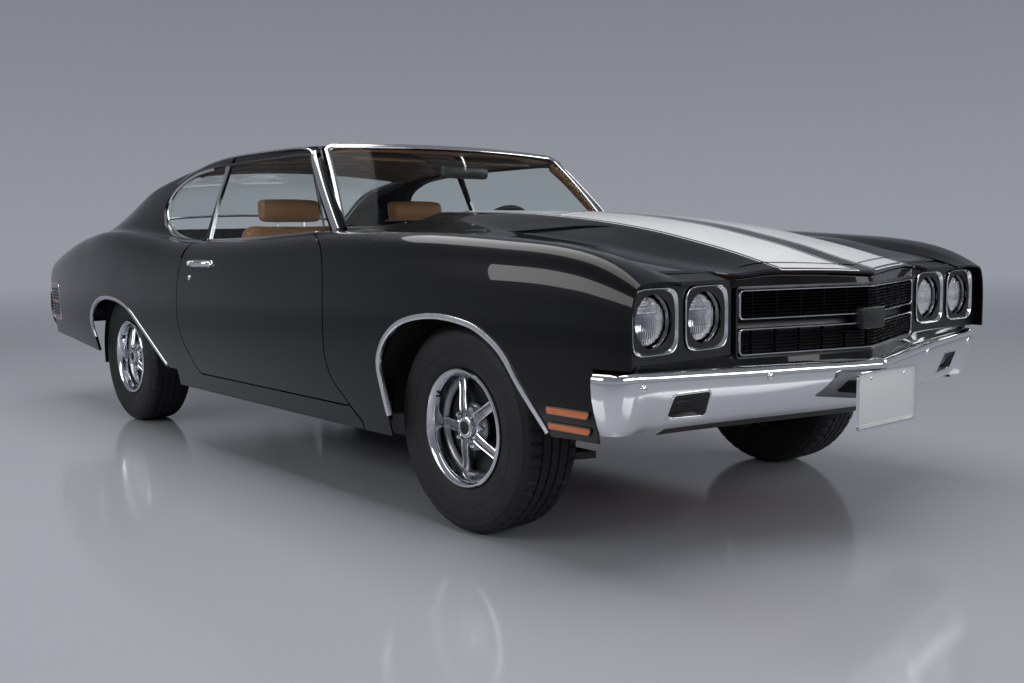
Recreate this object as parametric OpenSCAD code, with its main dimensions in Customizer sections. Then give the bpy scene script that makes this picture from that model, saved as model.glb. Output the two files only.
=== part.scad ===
// Two-door hardtop muscle car: body, running gear, cabin, doors and lids.
// +Z up, the nose faces -Y, the car's left is +X. The origin is on the ground
// under the middle of the car's box. All sizes are in millimetres.

/* [Overall] */
// Distance between the front and rear axles
wheelbase = 2845; // [2371:1:3414]
// Front bumper ahead of the front axle
front_overhang = 935; // [800:1:1100]
// Rear bumper behind the rear axle
rear_overhang = 1229; // [1100:1:1450]
// Widest part of the body
body_width = 1915; // [1750:1:2298]
// Top of the roof above the ground
car_height = 1336; // [1280:1:1450]

/* [Wheels] */
// Tyre outer radius
tyre_r = 333; // [278:1:345]
// Tyre width
tyre_w = 215; // [180:1:222]
// Radius where the tyre sits on the rim
bead_r = 188; // [178:1:200]
// Distance between the middles of the front tyres
track_front = 1524; // [1500:1:1540]
// Distance between the middles of the rear tyres
track_rear = 1519; // [1495:1:1535]
// Radius of the wheel spindles
spindle_r = 20; // [16:1:24]
// Circle through the wheel bolts
bolt_circle = 120.65; // [100:0.05:127]
// Radius of a wheel bolt's hole
bolt_hole_r = 7; // [5:0.5:8]
// Steering axis inboard of the tyre's middle
kingpin_offset = 72; // [66:1:80]

/* [Panels] */
// Gap round a door or lid
panel_gap = 6; // [5:0.5:8]
// Gap between fixed panels that meet
seam = 0.3; // [0.2:0.1:0.8]
// Thickness of a fender or hood skin with its folded edge
skin = 6; // [4:1:8]
// Thickness of the quarter panel's whole wall
wall = 42; // [30:1:46]
// Thickness of the roof with its lining
roof_thick = 32; // [24:1:40]
// Distance of the door's inner face from the car's middle
door_inner_x = 766; // [740:1:775]
// Thickness of the window glass
glass = 5; // [4:0.5:6]
// Distance of the side glass from the car's middle at the belt line
glass_x = 784; // [778:1:788]

/* [Hinges] */
// Door hinge pin behind the front axle
hinge_s = 718; // [712:1:724]
// Door hinge pin from the car's middle
hinge_x = 922; // [918:1:926]
// Radius of the hinge pins
hinge_pin_r = 8; // [6:0.5:9]
// Running clearance round a hinge pin
pin_clear = 0.08; // [0.03:0.01:0.1]

/* [Cabin] */
// Seat centre line from the car's middle
seat_x = 365; // [340:1:385]
// Width of a front seat
seat_w = 520; // [470:1:560]
// Top of the floor
floor_z = 300; // [280:1:310]
// Radius of the steering wheel
steering_r = 192; // [170:1:200]
// Steering shaft radius
shaft_r = 12; // [9:1:14]

/* [Hidden] */
$fn = 64;

paint = [0.02, 0.02, 0.025];
chrome = [0.8, 0.8, 0.82];
tan_hide = [0.62, 0.38, 0.2];

// The tables are drawn for a car of these sizes and stretched to the set ones.
// A station is the distance behind the front axle on that car.
DRAWN_WHEELBASE = 2845;
DRAWN_FRONT = 935;
DRAWN_REAR = 1229;
DRAWN_HALF = 957.5;
DRAWN_HEIGHT = 1336;
BELT_Z = 950;
car_length = front_overhang + wheelbase + rear_overhang;
axle_front_y = front_overhang - car_length / 2;
axle_rear_y = axle_front_y + wheelbase;
function Y(s) =
    s < 0 ? axle_front_y + s * front_overhang / DRAWN_FRONT :
    s < DRAWN_WHEELBASE ? axle_front_y + s * wheelbase / DRAWN_WHEELBASE :
    axle_rear_y + (s - DRAWN_WHEELBASE) * rear_overhang / DRAWN_REAR;
wide = body_width / 2 / DRAWN_HALF;
function X(x) = x * wide;
function Z(z) = z < BELT_Z ? z :
    BELT_Z + (z - BELT_Z) * (car_height - BELT_Z) / (DRAWN_HEIGHT - BELT_Z);

// ---- smooth tables -------------------------------------------------------
function mix(a, b, t) = a + (b - a) * t;
function clamp01(t) = max(0, min(1, t));
function ease(t) = let (u = clamp01(t)) u * u * (3 - 2 * u);
function row_of(t, v, i = 0) =
    i >= len(t) - 2 || v < t[i + 1][0] ? i : row_of(t, v, i + 1);
function slope(t, i, c) =
    let (a = max(0, i - 1), b = min(len(t) - 1, i + 1))
    (t[b][c] - t[a][c]) / (t[b][0] - t[a][0]);
// Column c of table t at v, as a smooth curve through the rows.
function at(t, v, c) =
    let (i = row_of(t, v), h = t[i + 1][0] - t[i][0],
         u = clamp01((v - t[i][0]) / h))
    (1 + 2 * u) * (1 - u) * (1 - u) * t[i][c]
    + u * (1 - u) * (1 - u) * h * slope(t, i, c)
    + u * u * (3 - 2 * u) * t[i + 1][c]
    - u * u * (1 - u) * h * slope(t, i + 1, c);
function spread(a, b, n) = [for (k = [0:n]) mix(a, b, k / n)];

// ---- closed solids from rings of points ----------------------------------
// Each ring has the same even number of points; ends close in strips.
module loft(rings) {
    m = len(rings[0]);
    n = len(rings);
    last = (n - 1) * m;
    polyhedron(
        points = [for (r = rings) each r],
        faces = concat(
            [for (i = [0:n - 2], j = [0:m - 1]) each [
                [i * m + j, i * m + (j + 1) % m, (i + 1) * m + (j + 1) % m],
                [i * m + j, (i + 1) * m + (j + 1) % m, (i + 1) * m + j]]],
            [for (j = [0:m / 2 - 2]) each [
                [j, m - 1 - j, m - 2 - j], [j, m - 2 - j, j + 1]]],
            [for (j = [0:m / 2 - 2]) each [
                [last + j, last + m - 2 - j, last + m - 1 - j],
                [last + j, last + j + 1, last + m - 2 - j]]]),
        convexity = 8);
}
// A sheet between an outer and an inner grid of points.
function backwards(r) = [for (i = [len(r) - 1:-1:0]) r[i]];
function sheet(outer, inner) =
    [for (i = [0:len(outer) - 1]) concat(outer[i], backwards(inner[i]))];
// Panels are one mesh each: cut shapes then keep clean edges.
module panel() { resize([0, 0, 0]) children(); }
module both_sides() {
    children();
    mirror([1, 0, 0]) children();
}
module on_side(side) {
    if (side > 0) children();
    else mirror([1, 0, 0]) children();
}
// A prism across the car with its outline drawn in [station, height].
module across(outline, x0, x1) {
    translate([x0, 0, 0]) rotate([90, 0, 90])
        linear_extrude(x1 - x0)
            polygon([for (p = outline) [Y(p[0]), Z(p[1])]]);
}
module block(x0, x1, y0, y1, z0, z1) {
    translate([x0, y0, z0]) cube([x1 - x0, y1 - y0, z1 - z0]);
}
module bar_y(x, z, y0, y1, r) {
    translate([x, y0, z]) rotate([-90, 0, 0]) cylinder(r = r, h = y1 - y0);
}
module bar_x(x0, x1, y, z, r) {
    translate([x0, y, z]) rotate([0, 90, 0]) cylinder(r = r, h = x1 - x0);
}

// ---- the body's side -----------------------------------------------------
// Columns: station, widest x and its z, shoulder x and z where the side has
// turned level, ridge x and z, inner edge x and z, foot x and z.
SIDE = [
    [-775, 914, 650, 858, 800, 790, 804, 722, 800, 900, 385],
    [-740, 925, 645, 850, 826, 785, 824, 721, 815, 906, 385],
    [-690, 931, 640, 846, 848, 783, 843, 720, 826, 910, 385],
    [-620, 936, 635, 844, 874, 782, 866, 720, 842, 914, 385],
    [-468, 941, 625, 842, 901, 781, 892, 720, 869, 918, 380],
    [-250, 946, 620, 838, 919, 780, 917, 720, 905, 922, 340],
    [  47, 950, 615, 836, 937, 780, 935, 722, 926, 922, 290],
    [ 280, 952, 610, 834, 945, 780, 944, 725, 938, 920, 276],
    [ 665, 953, 605, 822, 952, 780, 954, 732, 955, 915, 274],
    [ 900, 953, 600, 806, 951, 775, 958, 745, 962, 914, 274],
    [1150, 954, 600, 800, 942, 760, 990, 745, 1010, 914, 274],
    [1500, 955, 600, 800, 931, 660, 1295, 632, 1300, 914, 274],
    [1900, 956, 600, 800, 925, 652, 1300, 630, 1304, 914, 274],
    [2183, 957, 600, 806, 932, 654, 1291, 624, 1296, 914, 276],
    [2400, 957, 605, 814, 950, 662, 1266, 616, 1276, 916, 290],
    [2617, 956, 610, 824, 968, 676, 1232, 612, 1246, 918, 310],
    [2842, 955, 615, 828, 982, 694, 1186, 612, 1202, 920, 330],
    [3050, 951, 620, 826, 984, 724, 1092, 626, 1098, 920, 345],
    [3165, 948, 623, 818, 980, 742, 1040, 642, 1042, 919, 352],
    [3250, 945, 625, 808, 974, 752, 1008, 652, 1008, 918, 360],
    [3420, 938, 630, 798, 957, 752, 968, 676, 966, 914, 372],
    [3600, 928, 635, 788, 930, 745, 938, 684, 936, 906, 385],
    [3850, 908, 640, 775, 882, 735, 890, 690, 888, 890, 395],
    [4010, 890, 640, 765, 846, 728, 852, 690, 850, 876, 400]];
SHOULDER_Z = 4;      // column of the shoulder's z
EDGE_X = 7;          // column of the inner edge's x
EDGE_Z = 8;          // column of the inner edge's z
SQUARE = 2.8;        // how square the shoulder is
TUCK = 2.2;          // how late the lower side turns in
LOW_STEPS = 5;
SHOULDER_STEPS = 7;
RIDGE_STEPS = 3;
EDGE_STEPS = 1;
// The side's outline at a station, from foot to inner edge, as [x, z] pairs.
// Without its top the outline stops at the shoulder, as a door does.
function side_line(s, topped = true) =
    let (hw = at(SIDE, s, 1), zw = at(SIDE, s, 2), bx = at(SIDE, s, 3),
         bz = at(SIDE, s, SHOULDER_Z), tx = at(SIDE, s, 5),
         tz = at(SIDE, s, 6), ex = at(SIDE, s, EDGE_X),
         ez = at(SIDE, s, EDGE_Z), hr = at(SIDE, s, 9), zr = at(SIDE, s, 10))
    concat(
        [for (k = [0:LOW_STEPS - 1]) let (f = k / LOW_STEPS)
            [hw - (hw - hr) * pow(1 - f, TUCK), mix(zr, zw, f)]],
        [for (k = [0:SHOULDER_STEPS]) let (a = 90 * k / SHOULDER_STEPS)
            [bx + (hw - bx) * pow(cos(a), 2 / SQUARE),
             zw + (bz - zw) * pow(sin(a), 2 / SQUARE)]],
        !topped ? [] : concat(
            [for (k = [1:RIDGE_STEPS]) let (f = k / RIDGE_STEPS)
                [mix(bx, tx, f), mix(bz, tz, f)]],
            [for (k = [1:EDGE_STEPS]) let (f = k / EDGE_STEPS)
                [mix(tx, ex, f), mix(tz, ez, f)]]));
function place(s, p) = [X(p[0]), Y(s), Z(p[1])];
// Moves each point of an [x, z] line inwards by t.
function inset(line, t) =
    [for (i = [0:len(line) - 1])
        let (last = len(line) - 1, p = line[i],
             before = i > 0 ? p - line[i - 1] : line[1] - p,
             after = i < last ? line[i + 1] - p : before,
             n1 = [-before[1], before[0]] / norm(before),
             n2 = [-after[1], after[0]] / norm(after))
        p + (n1 + n2) / (1 + n1 * n2) * t];
module side_shell(stations, thick) {
    lines = [for (s = stations) [s, side_line(s)]];
    loft(sheet(
        [for (l = lines) [for (p = l[1]) place(l[0], p)]],
        [for (l = lines) [for (p = inset(l[1], thick)) place(l[0], p)]]));
}

// Door cut in [station, height], front edge from the belt down and round
// the swept lower corner, then back and up the rear edge.
DOOR_CUT = [[950, 1000], [936, 949], [868, 941], [798, 924], [738, 895], [700, 848],
    [678, 790], [674, 711], [674, 517], [650, 455], [625, 422], [573, 381],
    [538, 352], [1775, 352], [1828, 390], [1862, 435], [1915, 488],
    [1944, 545], [1956, 600], [1950, 740], [1942, 833], [1950, 880],
    [1962, 1000]];
// Wheel openings in [station, height], round arcs ended by lower lips.
FRONT_ARCH = [[-520, 200], [-505, 330], [-475, 398], [-382, 515], [-306, 606],
    [-207, 663], [-113, 685], [0, 693], [110, 683], [203, 658], [275, 612],
    [318, 555], [328, 505], [312, 420], [298, 345], [286, 200]];
REAR_ARCH = [[2030, 200], [2056, 294], [2263, 440], [2416, 532], [2562, 606],
    [2700, 640], [2840, 650], [2960, 642], [3056, 612], [3120, 570],
    [3153, 522], [3150, 480], [3128, 420], [3100, 200]];
FENDER_FOOT_S = 466;   // where the fender's foot meets the rocker

// Stations stand closer where the fender's nose rounds down.
FENDER_STATIONS = concat(spread(-772, -740, 2), [-715, -690, -655, -620],
    spread(-545, 930, 14));
module front_fender(side) {
    color(paint) panel() on_side(side) difference() {
        side_shell(FENDER_STATIONS, skin);
        across(FRONT_ARCH, X(700), X(1000));
        offset_door_cut(panel_gap);
        // behind the foot the rocker takes over
        across([[FENDER_FOOT_S, 200], [FENDER_FOOT_S, 304], [540, 360],
            [1000, 360], [1000, 200]], X(700), X(1000));
        // the windshield pillar stands on the cowl
        across([[880, 900], [880, 1000], [1000, 1000], [1000, 900]],
            X(700), X(766));
        // the bumper's end wraps the lower front corner
        across([[-800, 584], [-660, 584], [-660, 300], [-800, 300]],
            X(700), X(1000));
    }
}
module offset_door_cut(gap) {
    translate([X(600), 0, 0]) rotate([90, 0, 90])
        linear_extrude(X(400)) offset(delta = gap)
            polygon([for (p = DOOR_CUT) [Y(p[0]), Z(p[1])]]);
}

DOOR_STEP_X = 890;        // inboard of this the door is a little smaller,
DOOR_STEP = 9;            // so that its thick edge swings clear
module offset_door_slab(gap, x0, x1) {
    translate([X(x0), 0, 0]) rotate([90, 0, 90])
        linear_extrude(X(x1) - X(x0)) offset(delta = gap)
            polygon([for (p = DOOR_CUT) [Y(p[0]), Z(p[1])]]);
}

// ---- doors ---------------------------------------------------------------
HINGE_Z = [470, 750];      // heights of the two hinges
HINGE_H = 30;              // height of a hinge ring
HINGE_POCKET = 96;         // height of the pocket round a hinge
hinge_y = Y(hinge_s);
module door_shell() {
    lines = [for (s = spread(530, 1975, 14)) [s, side_line(s, false)]];
    difference() {
        intersection() {
            loft(sheet(
                [for (l = lines) [for (p = l[1]) place(l[0], p)]],
                [for (l = lines) [for (p = l[1]) [X(door_inner_x), Y(l[0]),
                    Z(p[1])]]]));
            union() {
                offset_door_slab(0, DOOR_STEP_X, 1000);
                offset_door_slab(-DOOR_STEP, 600, DOOR_STEP_X + 1);
            }
        }
        // the lower front corner is the outer skin alone
        across([[400, 300], [400, 560], [690, 560], [690, 300]],
            X(700), X(hinge_x) - 8);
        for (z = HINGE_Z)
            block(X(700), X(hinge_x) + 15, Y(500), hinge_y + 20,
                z - HINGE_POCKET / 2, z + HINGE_POCKET / 2);
    }
}
module door(side) {
    color(paint) panel() on_side(side) door_shell();
    color(chrome) on_side(side) for (z = HINGE_Z) hinge_leaf(z);
}
// The door's half of a hinge: a ring round the pin and its plate.
module hinge_leaf(z) {
    translate([X(hinge_x), hinge_y, z - HINGE_H])
        difference() {
            union() {
                cylinder(r = hinge_pin_r + 6, h = HINGE_H);
                translate([-60, 8, 0]) cube([60, 12 - seam, HINGE_H]);
            }
            translate([0, 0, -1])
                cylinder(r = hinge_pin_r + pin_clear, h = HINGE_H + 2);
        }
}
// The body's half: a strap from the pillar and the pin that hangs from it.
module hinge_strap(z) {
    difference() {
        union() {
            translate([X(hinge_x), hinge_y, z + 1])
                cylinder(r = hinge_pin_r + 5, h = 20);
            translate([X(hinge_x), hinge_y, z - HINGE_H])
                cylinder(r = hinge_pin_r, h = HINGE_H + 20);
            translate([0, 0, z + 1]) linear_extrude(20)
                polygon([[X(hinge_x), hinge_y - 9], [X(hinge_x), hinge_y + 7],
                    [X(hinge_x) - 82, hinge_y + 7],
                    [X(hinge_x) - 82, PILLAR_Y1 - 10],
                    [X(hinge_x) - 64, PILLAR_Y1 - 10],
                    [X(hinge_x) - 64, hinge_y - 9]]);
        }
    }
}
PILLAR_X1 = X(893);
PILLAR_X0 = X(700);
PILLAR_Y1 = Y(674) - panel_gap - 10;
PILLAR_Y0 = PILLAR_Y1 - 50;

// ---- greenhouse ----------------------------------------------------------
// Side glass lies on a plane that leans in from the belt to the roof rail.
RAIL_X = 650;
RAIL_Z = 1300;
GLASS_FOOT_Z = 925;
function glass_plane_x(z) =
    mix(glass_x, RAIL_X, (z - GLASS_FOOT_Z) / (RAIL_Z - GLASS_FOOT_Z));
// Windshield from its foot on the cowl to the roof's front edge.
SHIELD_FOOT_X = 735;
SHIELD_HEAD_X = 628;
SHIELD_FOOT_S = 850;
SHIELD_FOOT_Z = 962;
SHIELD_SWEEP = 54;        // how far its corners lie behind its middle
ROOF_FRONT_S = 1152;
ROOF_REAR_S = 2489;
function shield_point(u, v) =
    [X(u * mix(SHIELD_FOOT_X, SHIELD_HEAD_X, v)),
     Y(mix(SHIELD_FOOT_S, ROOF_FRONT_S - 3.6, v) + SHIELD_SWEEP * u * u
        - 22 * v * (1 - v)),
     Z(mix(SHIELD_FOOT_Z - 7 * u * u, 1315 - 15 * u * u, v)
        + 40 * v * (1 - v))];
// Rear window between the sail panels, from the shelf to the roof.
REAR_FOOT_S = 3150;
REAR_SINK = 16;           // how far its edges lie below the sail's edge
REAR_CROWN = 32;
function backlight_point(u, v) =
    let (s = mix(REAR_FOOT_S, ROOF_REAR_S + seam, v))
    [X(u * (at(SIDE, s, EDGE_X) - 6)), Y(s),
     Z(at(SIDE, s, EDGE_Z) - REAR_SINK + REAR_CROWN * (1 - u * u))];
module pane(points, t) {
    loft(sheet(points, [for (r = points) [for (p = r) p - t]]));
}
module windshield() {
    color([0.75, 0.82, 0.85, 0.35]) panel() pane(
        [for (u = spread(-0.985, 0.985, 12)) [for (v = spread(0, 1, 4))
            shield_point(u, v)]], [0, -3, 4]);
}
module rear_window() {
    color([0.75, 0.82, 0.85, 0.35]) panel() pane(
        [for (u = spread(1, -1, 10)) [for (v = spread(0, 1, 6))
            backlight_point(u, v)]], [0, 0, glass]);
}
// Roof, columns: station, half width, edge z, middle z.
RAIL_END_S = 1960;        // behind it the roof's edge meets the sail panel
ROOF = [
    [1152, 640, 1294, 1318],
    [1240, 645, 1301, 1325],
    [1450, 649, 1305, 1333],
    [1800, 650, 1305, 1336],
    [2000, 650, 1301, 1334],
    [2183, 640, 1296, 1329],
    [2350, 630, 1284, 1317],
    [2489, 620, 1265, 1300]];
function roof_half(s) = s > RAIL_END_S ? at(SIDE, s, EDGE_X) - seam - 0.3 :
    at(ROOF, s, 1);
function roof_z(s, x) =
    let (u = x / roof_half(s))
    mix(at(ROOF, s, 3), at(ROOF, s, 2), pow(abs(u), 2.4));
ROOF_STATIONS = [ROOF_FRONT_S, 1260, 1380, 1520, 1680, 1840, RAIL_END_S - 10,
    RAIL_END_S + 1, 2080, 2200, 2300, 2400, ROOF_REAR_S];
function roof_grid(drop) =
    [for (s = ROOF_STATIONS) [for (u = spread(1, -1, 12))
        let (x = u * roof_half(s), front = s == ROOF_FRONT_S)
        [X(x) - u * (s > RAIL_END_S ? 10 * drop / roof_thick : 0),
         Y(s + (front ? SHIELD_SWEEP * pow(x / SHIELD_HEAD_X, 2) : 0)),
         Z(roof_z(s, x)) - drop]]];
module roof_panel() {
    color(paint) panel() {
        loft(sheet(roof_grid(0), roof_grid(roof_thick)));
        pillars();
    }
}
// The windshield's pillars, from the cowl to the roof's front corners.
PILLAR_FOOT_X = 738;
PILLAR_FOOT_Z = 945;
module pillars() {
    both_sides() hull() {
        block(X(PILLAR_FOOT_X), X(760), Y(893), Y(924), PILLAR_FOOT_Z,
            PILLAR_FOOT_Z + 6);
        block(X(620), X(641), Y(1212), Y(1240), Z(1278), Z(1290));
    }
}

// ---- hood ----------------------------------------------------------------
// Columns: station, z at the seam, at the valley, at the dome's edge, middle.
HOOD = [
    [-890, 792, 794, 800, 806],
    [-800, 806, 806, 822, 829],
    [-698, 822, 820, 850, 858],
    [-620, 841, 830, 872, 882],
    [-485, 866, 850, 903, 914],
    [-300, 903, 880, 941, 953],
    [ -50, 920, 910, 977, 988],
    [ 200, 934, 938, 1001, 1010],
    [ 400, 943, 962, 1013, 1021],
    [ 850, 960, 985, 1028, 1036]];
HOOD_X = 714;
VALLEY_X = 490;
DOME_X = 300;
function hood_z(s, x) =
    let (a = abs(x), seam_z = at(HOOD, s, 1), valley = at(HOOD, s, 2),
         edge = at(HOOD, s, 3), mid = at(HOOD, s, 4))
    a < DOME_X ? mix(mid, edge, pow(a / DOME_X, 2)) :
    a < VALLEY_X ? mix(edge, valley, ease((a - DOME_X) / (VALLEY_X - DOME_X))) :
    mix(valley, seam_z, ease((a - VALLEY_X) / (HOOD_X - VALLEY_X)));
LIP_X = 489;             // half width of the hood's pointed lip
function hood_front(x) =
    let (a = abs(x))
    a <= LIP_X ? -888 + 133 * a / LIP_X :
    a < LIP_X + 34 ? mix(-755, -694, (a - LIP_X) / 34) : -694;
function hood_rear(x) = 800 + 45 * pow(x / HOOD_X, 2);
HOOD_SHARES = [-1, -0.9, -0.78, -0.7325, -0.685, -0.56, -0.42, -0.21, 0,
    0.21, 0.42, 0.56, 0.685, 0.7325, 0.78, 0.9, 1];
function hood_grid(drop) =
    [for (u = HOOD_SHARES) [for (v = spread(0, 1, 11))
        let (x = u * HOOD_X, s = mix(hood_front(x), hood_rear(x), v))
        [X(x), Y(s), Z(hood_z(s, x)) - drop]]];
HOOD_HINGE_S = 880;
HOOD_HINGE_Z = 925;
HOOD_HINGE_X = 640;
hood_hinge_y = Y(HOOD_HINGE_S);
HINGE_PLATE = 12;         // thickness of a lid's hinge arm
ARM_GAP = 0.8;            // from a lid's curved underside to its hinge arm
module hood() {
    color(paint) panel() loft(sheet(hood_grid(0), hood_grid(2 * skin)));
    color(chrome) both_sides() hood_arm();
}
function under_hood(s) = Z(hood_z(s, HOOD_HINGE_X)) - 2 * skin - ARM_GAP;
// An arm from the hinge pin forward under the hood's edge.
module hood_arm() {
    difference() {
        union() {
            bar_x(X(HOOD_HINGE_X), X(HOOD_HINGE_X) + HINGE_PLATE, hood_hinge_y,
                HOOD_HINGE_Z, 14);
            translate([X(HOOD_HINGE_X), 0, 0]) rotate([90, 0, 90])
                linear_extrude(HINGE_PLATE) polygon([
                    [hood_hinge_y, HOOD_HINGE_Z - 12],
                    [Y(780), under_hood(780) - 34],
                    [Y(680), under_hood(680) - 16],
                    [Y(680), under_hood(680)],
                    [Y(760), under_hood(760)],
                    [Y(820), under_hood(820)],
                    [hood_hinge_y, HOOD_HINGE_Z + 12]]);
        }
        bar_x(X(HOOD_HINGE_X) - 1, X(HOOD_HINGE_X) + HINGE_PLATE + 1,
            hood_hinge_y, HOOD_HINGE_Z, hinge_pin_r + pin_clear);
    }
}

// ---- trunk lid -----------------------------------------------------------
LID_FRONT = 3216;
LID_REAR = 4000;
// Columns: station, z at the lid's side, z in the middle.
DECK = [
    [3140, 1000, 1012],
    [3216, 985, 998],
    [3350, 970, 983],
    [3500, 948, 962],
    [3700, 914, 927],
    [3900, 872, 884],
    [4010, 842, 852]];
function lid_half(s) = at(SIDE, s, EDGE_X) - panel_gap
    - max(0, (3280 - s) / 16);
function deck_z(s, x) = mix(at(DECK, s, 2), at(DECK, s, 1),
    pow(abs(x) / lid_half(s), 2));
function lid_grid(drop) =
    [for (u = spread(-1, 1, 10)) [for (s = spread(LID_FRONT, LID_REAR, 8))
        let (x = u * lid_half(s)) [X(x), Y(s), Z(deck_z(s, x)) - drop]]];
LID_HINGE_S = 3190;
LID_HINGE_Z = 962;
LID_HINGE_X = 500;
lid_hinge_y = Y(LID_HINGE_S);
module trunk_lid() {
    color(paint) panel() loft(sheet(lid_grid(0), lid_grid(2 * skin)));
    color(chrome) both_sides() lid_arm();
}
function under_lid(s) = Z(deck_z(s, LID_HINGE_X + HINGE_PLATE)) - 2 * skin
    - ARM_GAP;
// A strap from the pin back along the underside of the lid.
module lid_arm() {
    difference() {
        union() {
            bar_x(X(LID_HINGE_X), X(LID_HINGE_X) + HINGE_PLATE, lid_hinge_y,
                LID_HINGE_Z, 13);
            translate([X(LID_HINGE_X), 0, 0]) rotate([90, 0, 90])
                linear_extrude(HINGE_PLATE) polygon([
                    [lid_hinge_y, LID_HINGE_Z - 12],
                    [Y(3400), under_lid(3400) - 12],
                    [Y(3400), under_lid(3400)], [Y(3310), under_lid(3310)],
                    [Y(3232), under_lid(3232)],
                    [Y(3220), under_lid(3232) - 8],
                    [lid_hinge_y, LID_HINGE_Z + 12]]);
        }
        bar_x(X(LID_HINGE_X) - 1, X(LID_HINGE_X) + HINGE_PLATE + 1,
            lid_hinge_y, LID_HINGE_Z, hinge_pin_r + pin_clear);
    }
}

// ---- quarter panels ------------------------------------------------------
// Lower edge of the side glass and its upper edge at the roof rail.
GLASS_TOP_Z = 1264;
SPLIT_FOOT_S = 1958;      // where door glass and quarter glass part
SPLIT_HEAD_S = 2000;
// Opening of the quarter window behind the split, [station, height].
QUARTER_WINDOW = [[1980, 912], [2100, 914], [2239, 932], [2360, 958],
    [2460, 1004], [2540, 1075], [2562, 1130], [2530, 1172], [2440, 1212],
    [2330, 1242], [2200, 1260], [2010, 1272]];
module quarter_panel(side) {
    color(paint) panel() on_side(side) difference() {
        side_shell(spread(1775, 4006, 26), wall);
        across(REAR_ARCH, X(800), X(1000));
        offset_door_cut(panel_gap);
        across(concat([[1690, 912]], QUARTER_WINDOW, [[1690, 1272]]),
            X(490), X(812));
        // the rocker runs under it
        across([[1700, 200], [1700, 352 - panel_gap], [2120, 352 - panel_gap],
            [2120, 200]], X(700), X(1000));
        // the rear bumper sits in a notch
        across([[3950, 300], [3950, 648], [4100, 648], [4100, 300]],
            X(700), X(1000));
        // ahead of the jamb there is only door and roof
        across([[1500, 850], [1500, 1400], [RAIL_END_S + 8, 1400],
            [RAIL_END_S + 8, 850]], X(480), X(1010));
        across([[1510, 360], [1510, 905], [1986, 905], [1986, 360]],
            X(470), X(906));
    }
}

// ---- fixed glass and doors' glass ----------------------------------------
// A pane on the leaning side plane, rows of foot and head [station, height].
module leaning_pane(rows) {
    outer = [for (r = rows) [for (v = spread(0, 1, 3))
        let (s = mix(r[0][0], r[1][0], v), z = mix(r[0][1], r[1][1], v),
             bow = 10 * 4 * v * (1 - v))
        [X(glass_plane_x(z) + bow), Y(s), Z(z)]]];
    loft(sheet(outer, [for (r = outer) [for (p = r) p - [glass, 0, 0]]]));
}
module door_glass(side) {
    feet = [948, 1100, 1300, 1500, 1740, SPLIT_FOOT_S - 5];
    heads = [1234, 1330, 1480, 1640, 1820, SPLIT_HEAD_S - 5];
    color([0.75, 0.82, 0.85, 0.35]) panel() on_side(side)
        leaning_pane([for (k = [0:5])
            [[feet[k], at(SIDE, feet[k], SHOULDER_Z) + 0.6],
             [heads[k], k == 0 ? GLASS_TOP_Z - 6 : GLASS_TOP_Z]]]);
}
module quarter_glasses() {
    color([0.75, 0.82, 0.85, 0.35]) panel() both_sides()
        leaning_pane([[[SPLIT_FOOT_S + 7, 926], [SPLIT_HEAD_S + 7, 1264]],
            [[2100, 925], [2120, 1260]], [[2237, 943], [2290, 1246.8]],
            [[2357, 970], [2420, 1216]], [[2457, 1012], [2510, 1176]],
            [[2536, 1078], [2554, 1130]]]);
}

// ---- nose, lamps and grille ----------------------------------------------
LAMP_X = [587, 792];
LAMP_Z = 699;
LAMP_S = -740;
LAMP_BOX = 88;            // half size of a lamp's square bezel
GRILLE_X = 466;
GRILLE_TOP = 776;
GRILLE_FOOT = 575;
GRILLE_DEEP = 45;
function grille_s(x) = -884 + 137 * abs(x) / GRILLE_X;
NOSE_X = 482;
NOSE_THICK = 24;
NOSE_FOOT = 584;
NOSE_TOP = 796;
// A plate round each pair of lamps, and the brow from it to the hood.
module nose_panel() {
    edge = [for (p = inset(side_line(-740), skin + 0.6))
        if (p[1] > NOSE_FOOT) [X(p[0]), Z(p[1])]];
    color(paint) both_sides() {
        translate([0, Y(LAMP_S) + NOSE_THICK, 0]) rotate([90, 0, 0])
            linear_extrude(NOSE_THICK) difference() {
                polygon(concat([[X(NOSE_X), NOSE_FOOT]],
                    [[edge[0][0], NOSE_FOOT]], edge,
                    [[X(HOOD_X), NOSE_TOP], [X(NOSE_X), NOSE_TOP]]));
                for (x = LAMP_X) translate([X(x), LAMP_Z])
                    square(2 * LAMP_BOX, center = true);
            }
        across([[-766, 790], [-766, 800], [-701, 816], [-701, 790]],
            X(LIP_X + 41), X(HOOD_X));
    }
}
module headlamps() {
    color(chrome) both_sides() for (x = LAMP_X)
        translate([X(x), Y(LAMP_S), LAMP_Z]) rotate([90, 0, 0]) {
            difference() {
                translate([0, 0, -30]) linear_extrude(42)
                    square(2 * LAMP_BOX - 0.6, center = true);
                translate([0, 0, 0]) cylinder(r = 72, h = 20);
            }
            translate([0, 0, -0.5]) cylinder(r = 68, h = 6);
        }
}
module grille() {
    color([0.05, 0.05, 0.05]) {
        translate([0, 0, GRILLE_FOOT]) linear_extrude(GRILLE_TOP - GRILLE_FOOT)
            polygon([[0, Y(grille_s(0))], [X(GRILLE_X), Y(grille_s(GRILLE_X))],
                [X(GRILLE_X), Y(grille_s(GRILLE_X)) + GRILLE_DEEP],
                [0, Y(grille_s(0)) + GRILLE_DEEP],
                [-X(GRILLE_X), Y(grille_s(GRILLE_X)) + GRILLE_DEEP],
                [-X(GRILLE_X), Y(grille_s(GRILLE_X))]]);
    }
    // the upright brackets that carry the grille and the nose
    color([0.1, 0.1, 0.1]) both_sides()
        block(X(300), X(FRAME_FRONT_X) - RAIL_W / 2, Y(grille_s(315)) + 20,
            Y(-690), 400, GRILLE_TOP - 20);
}

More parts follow.
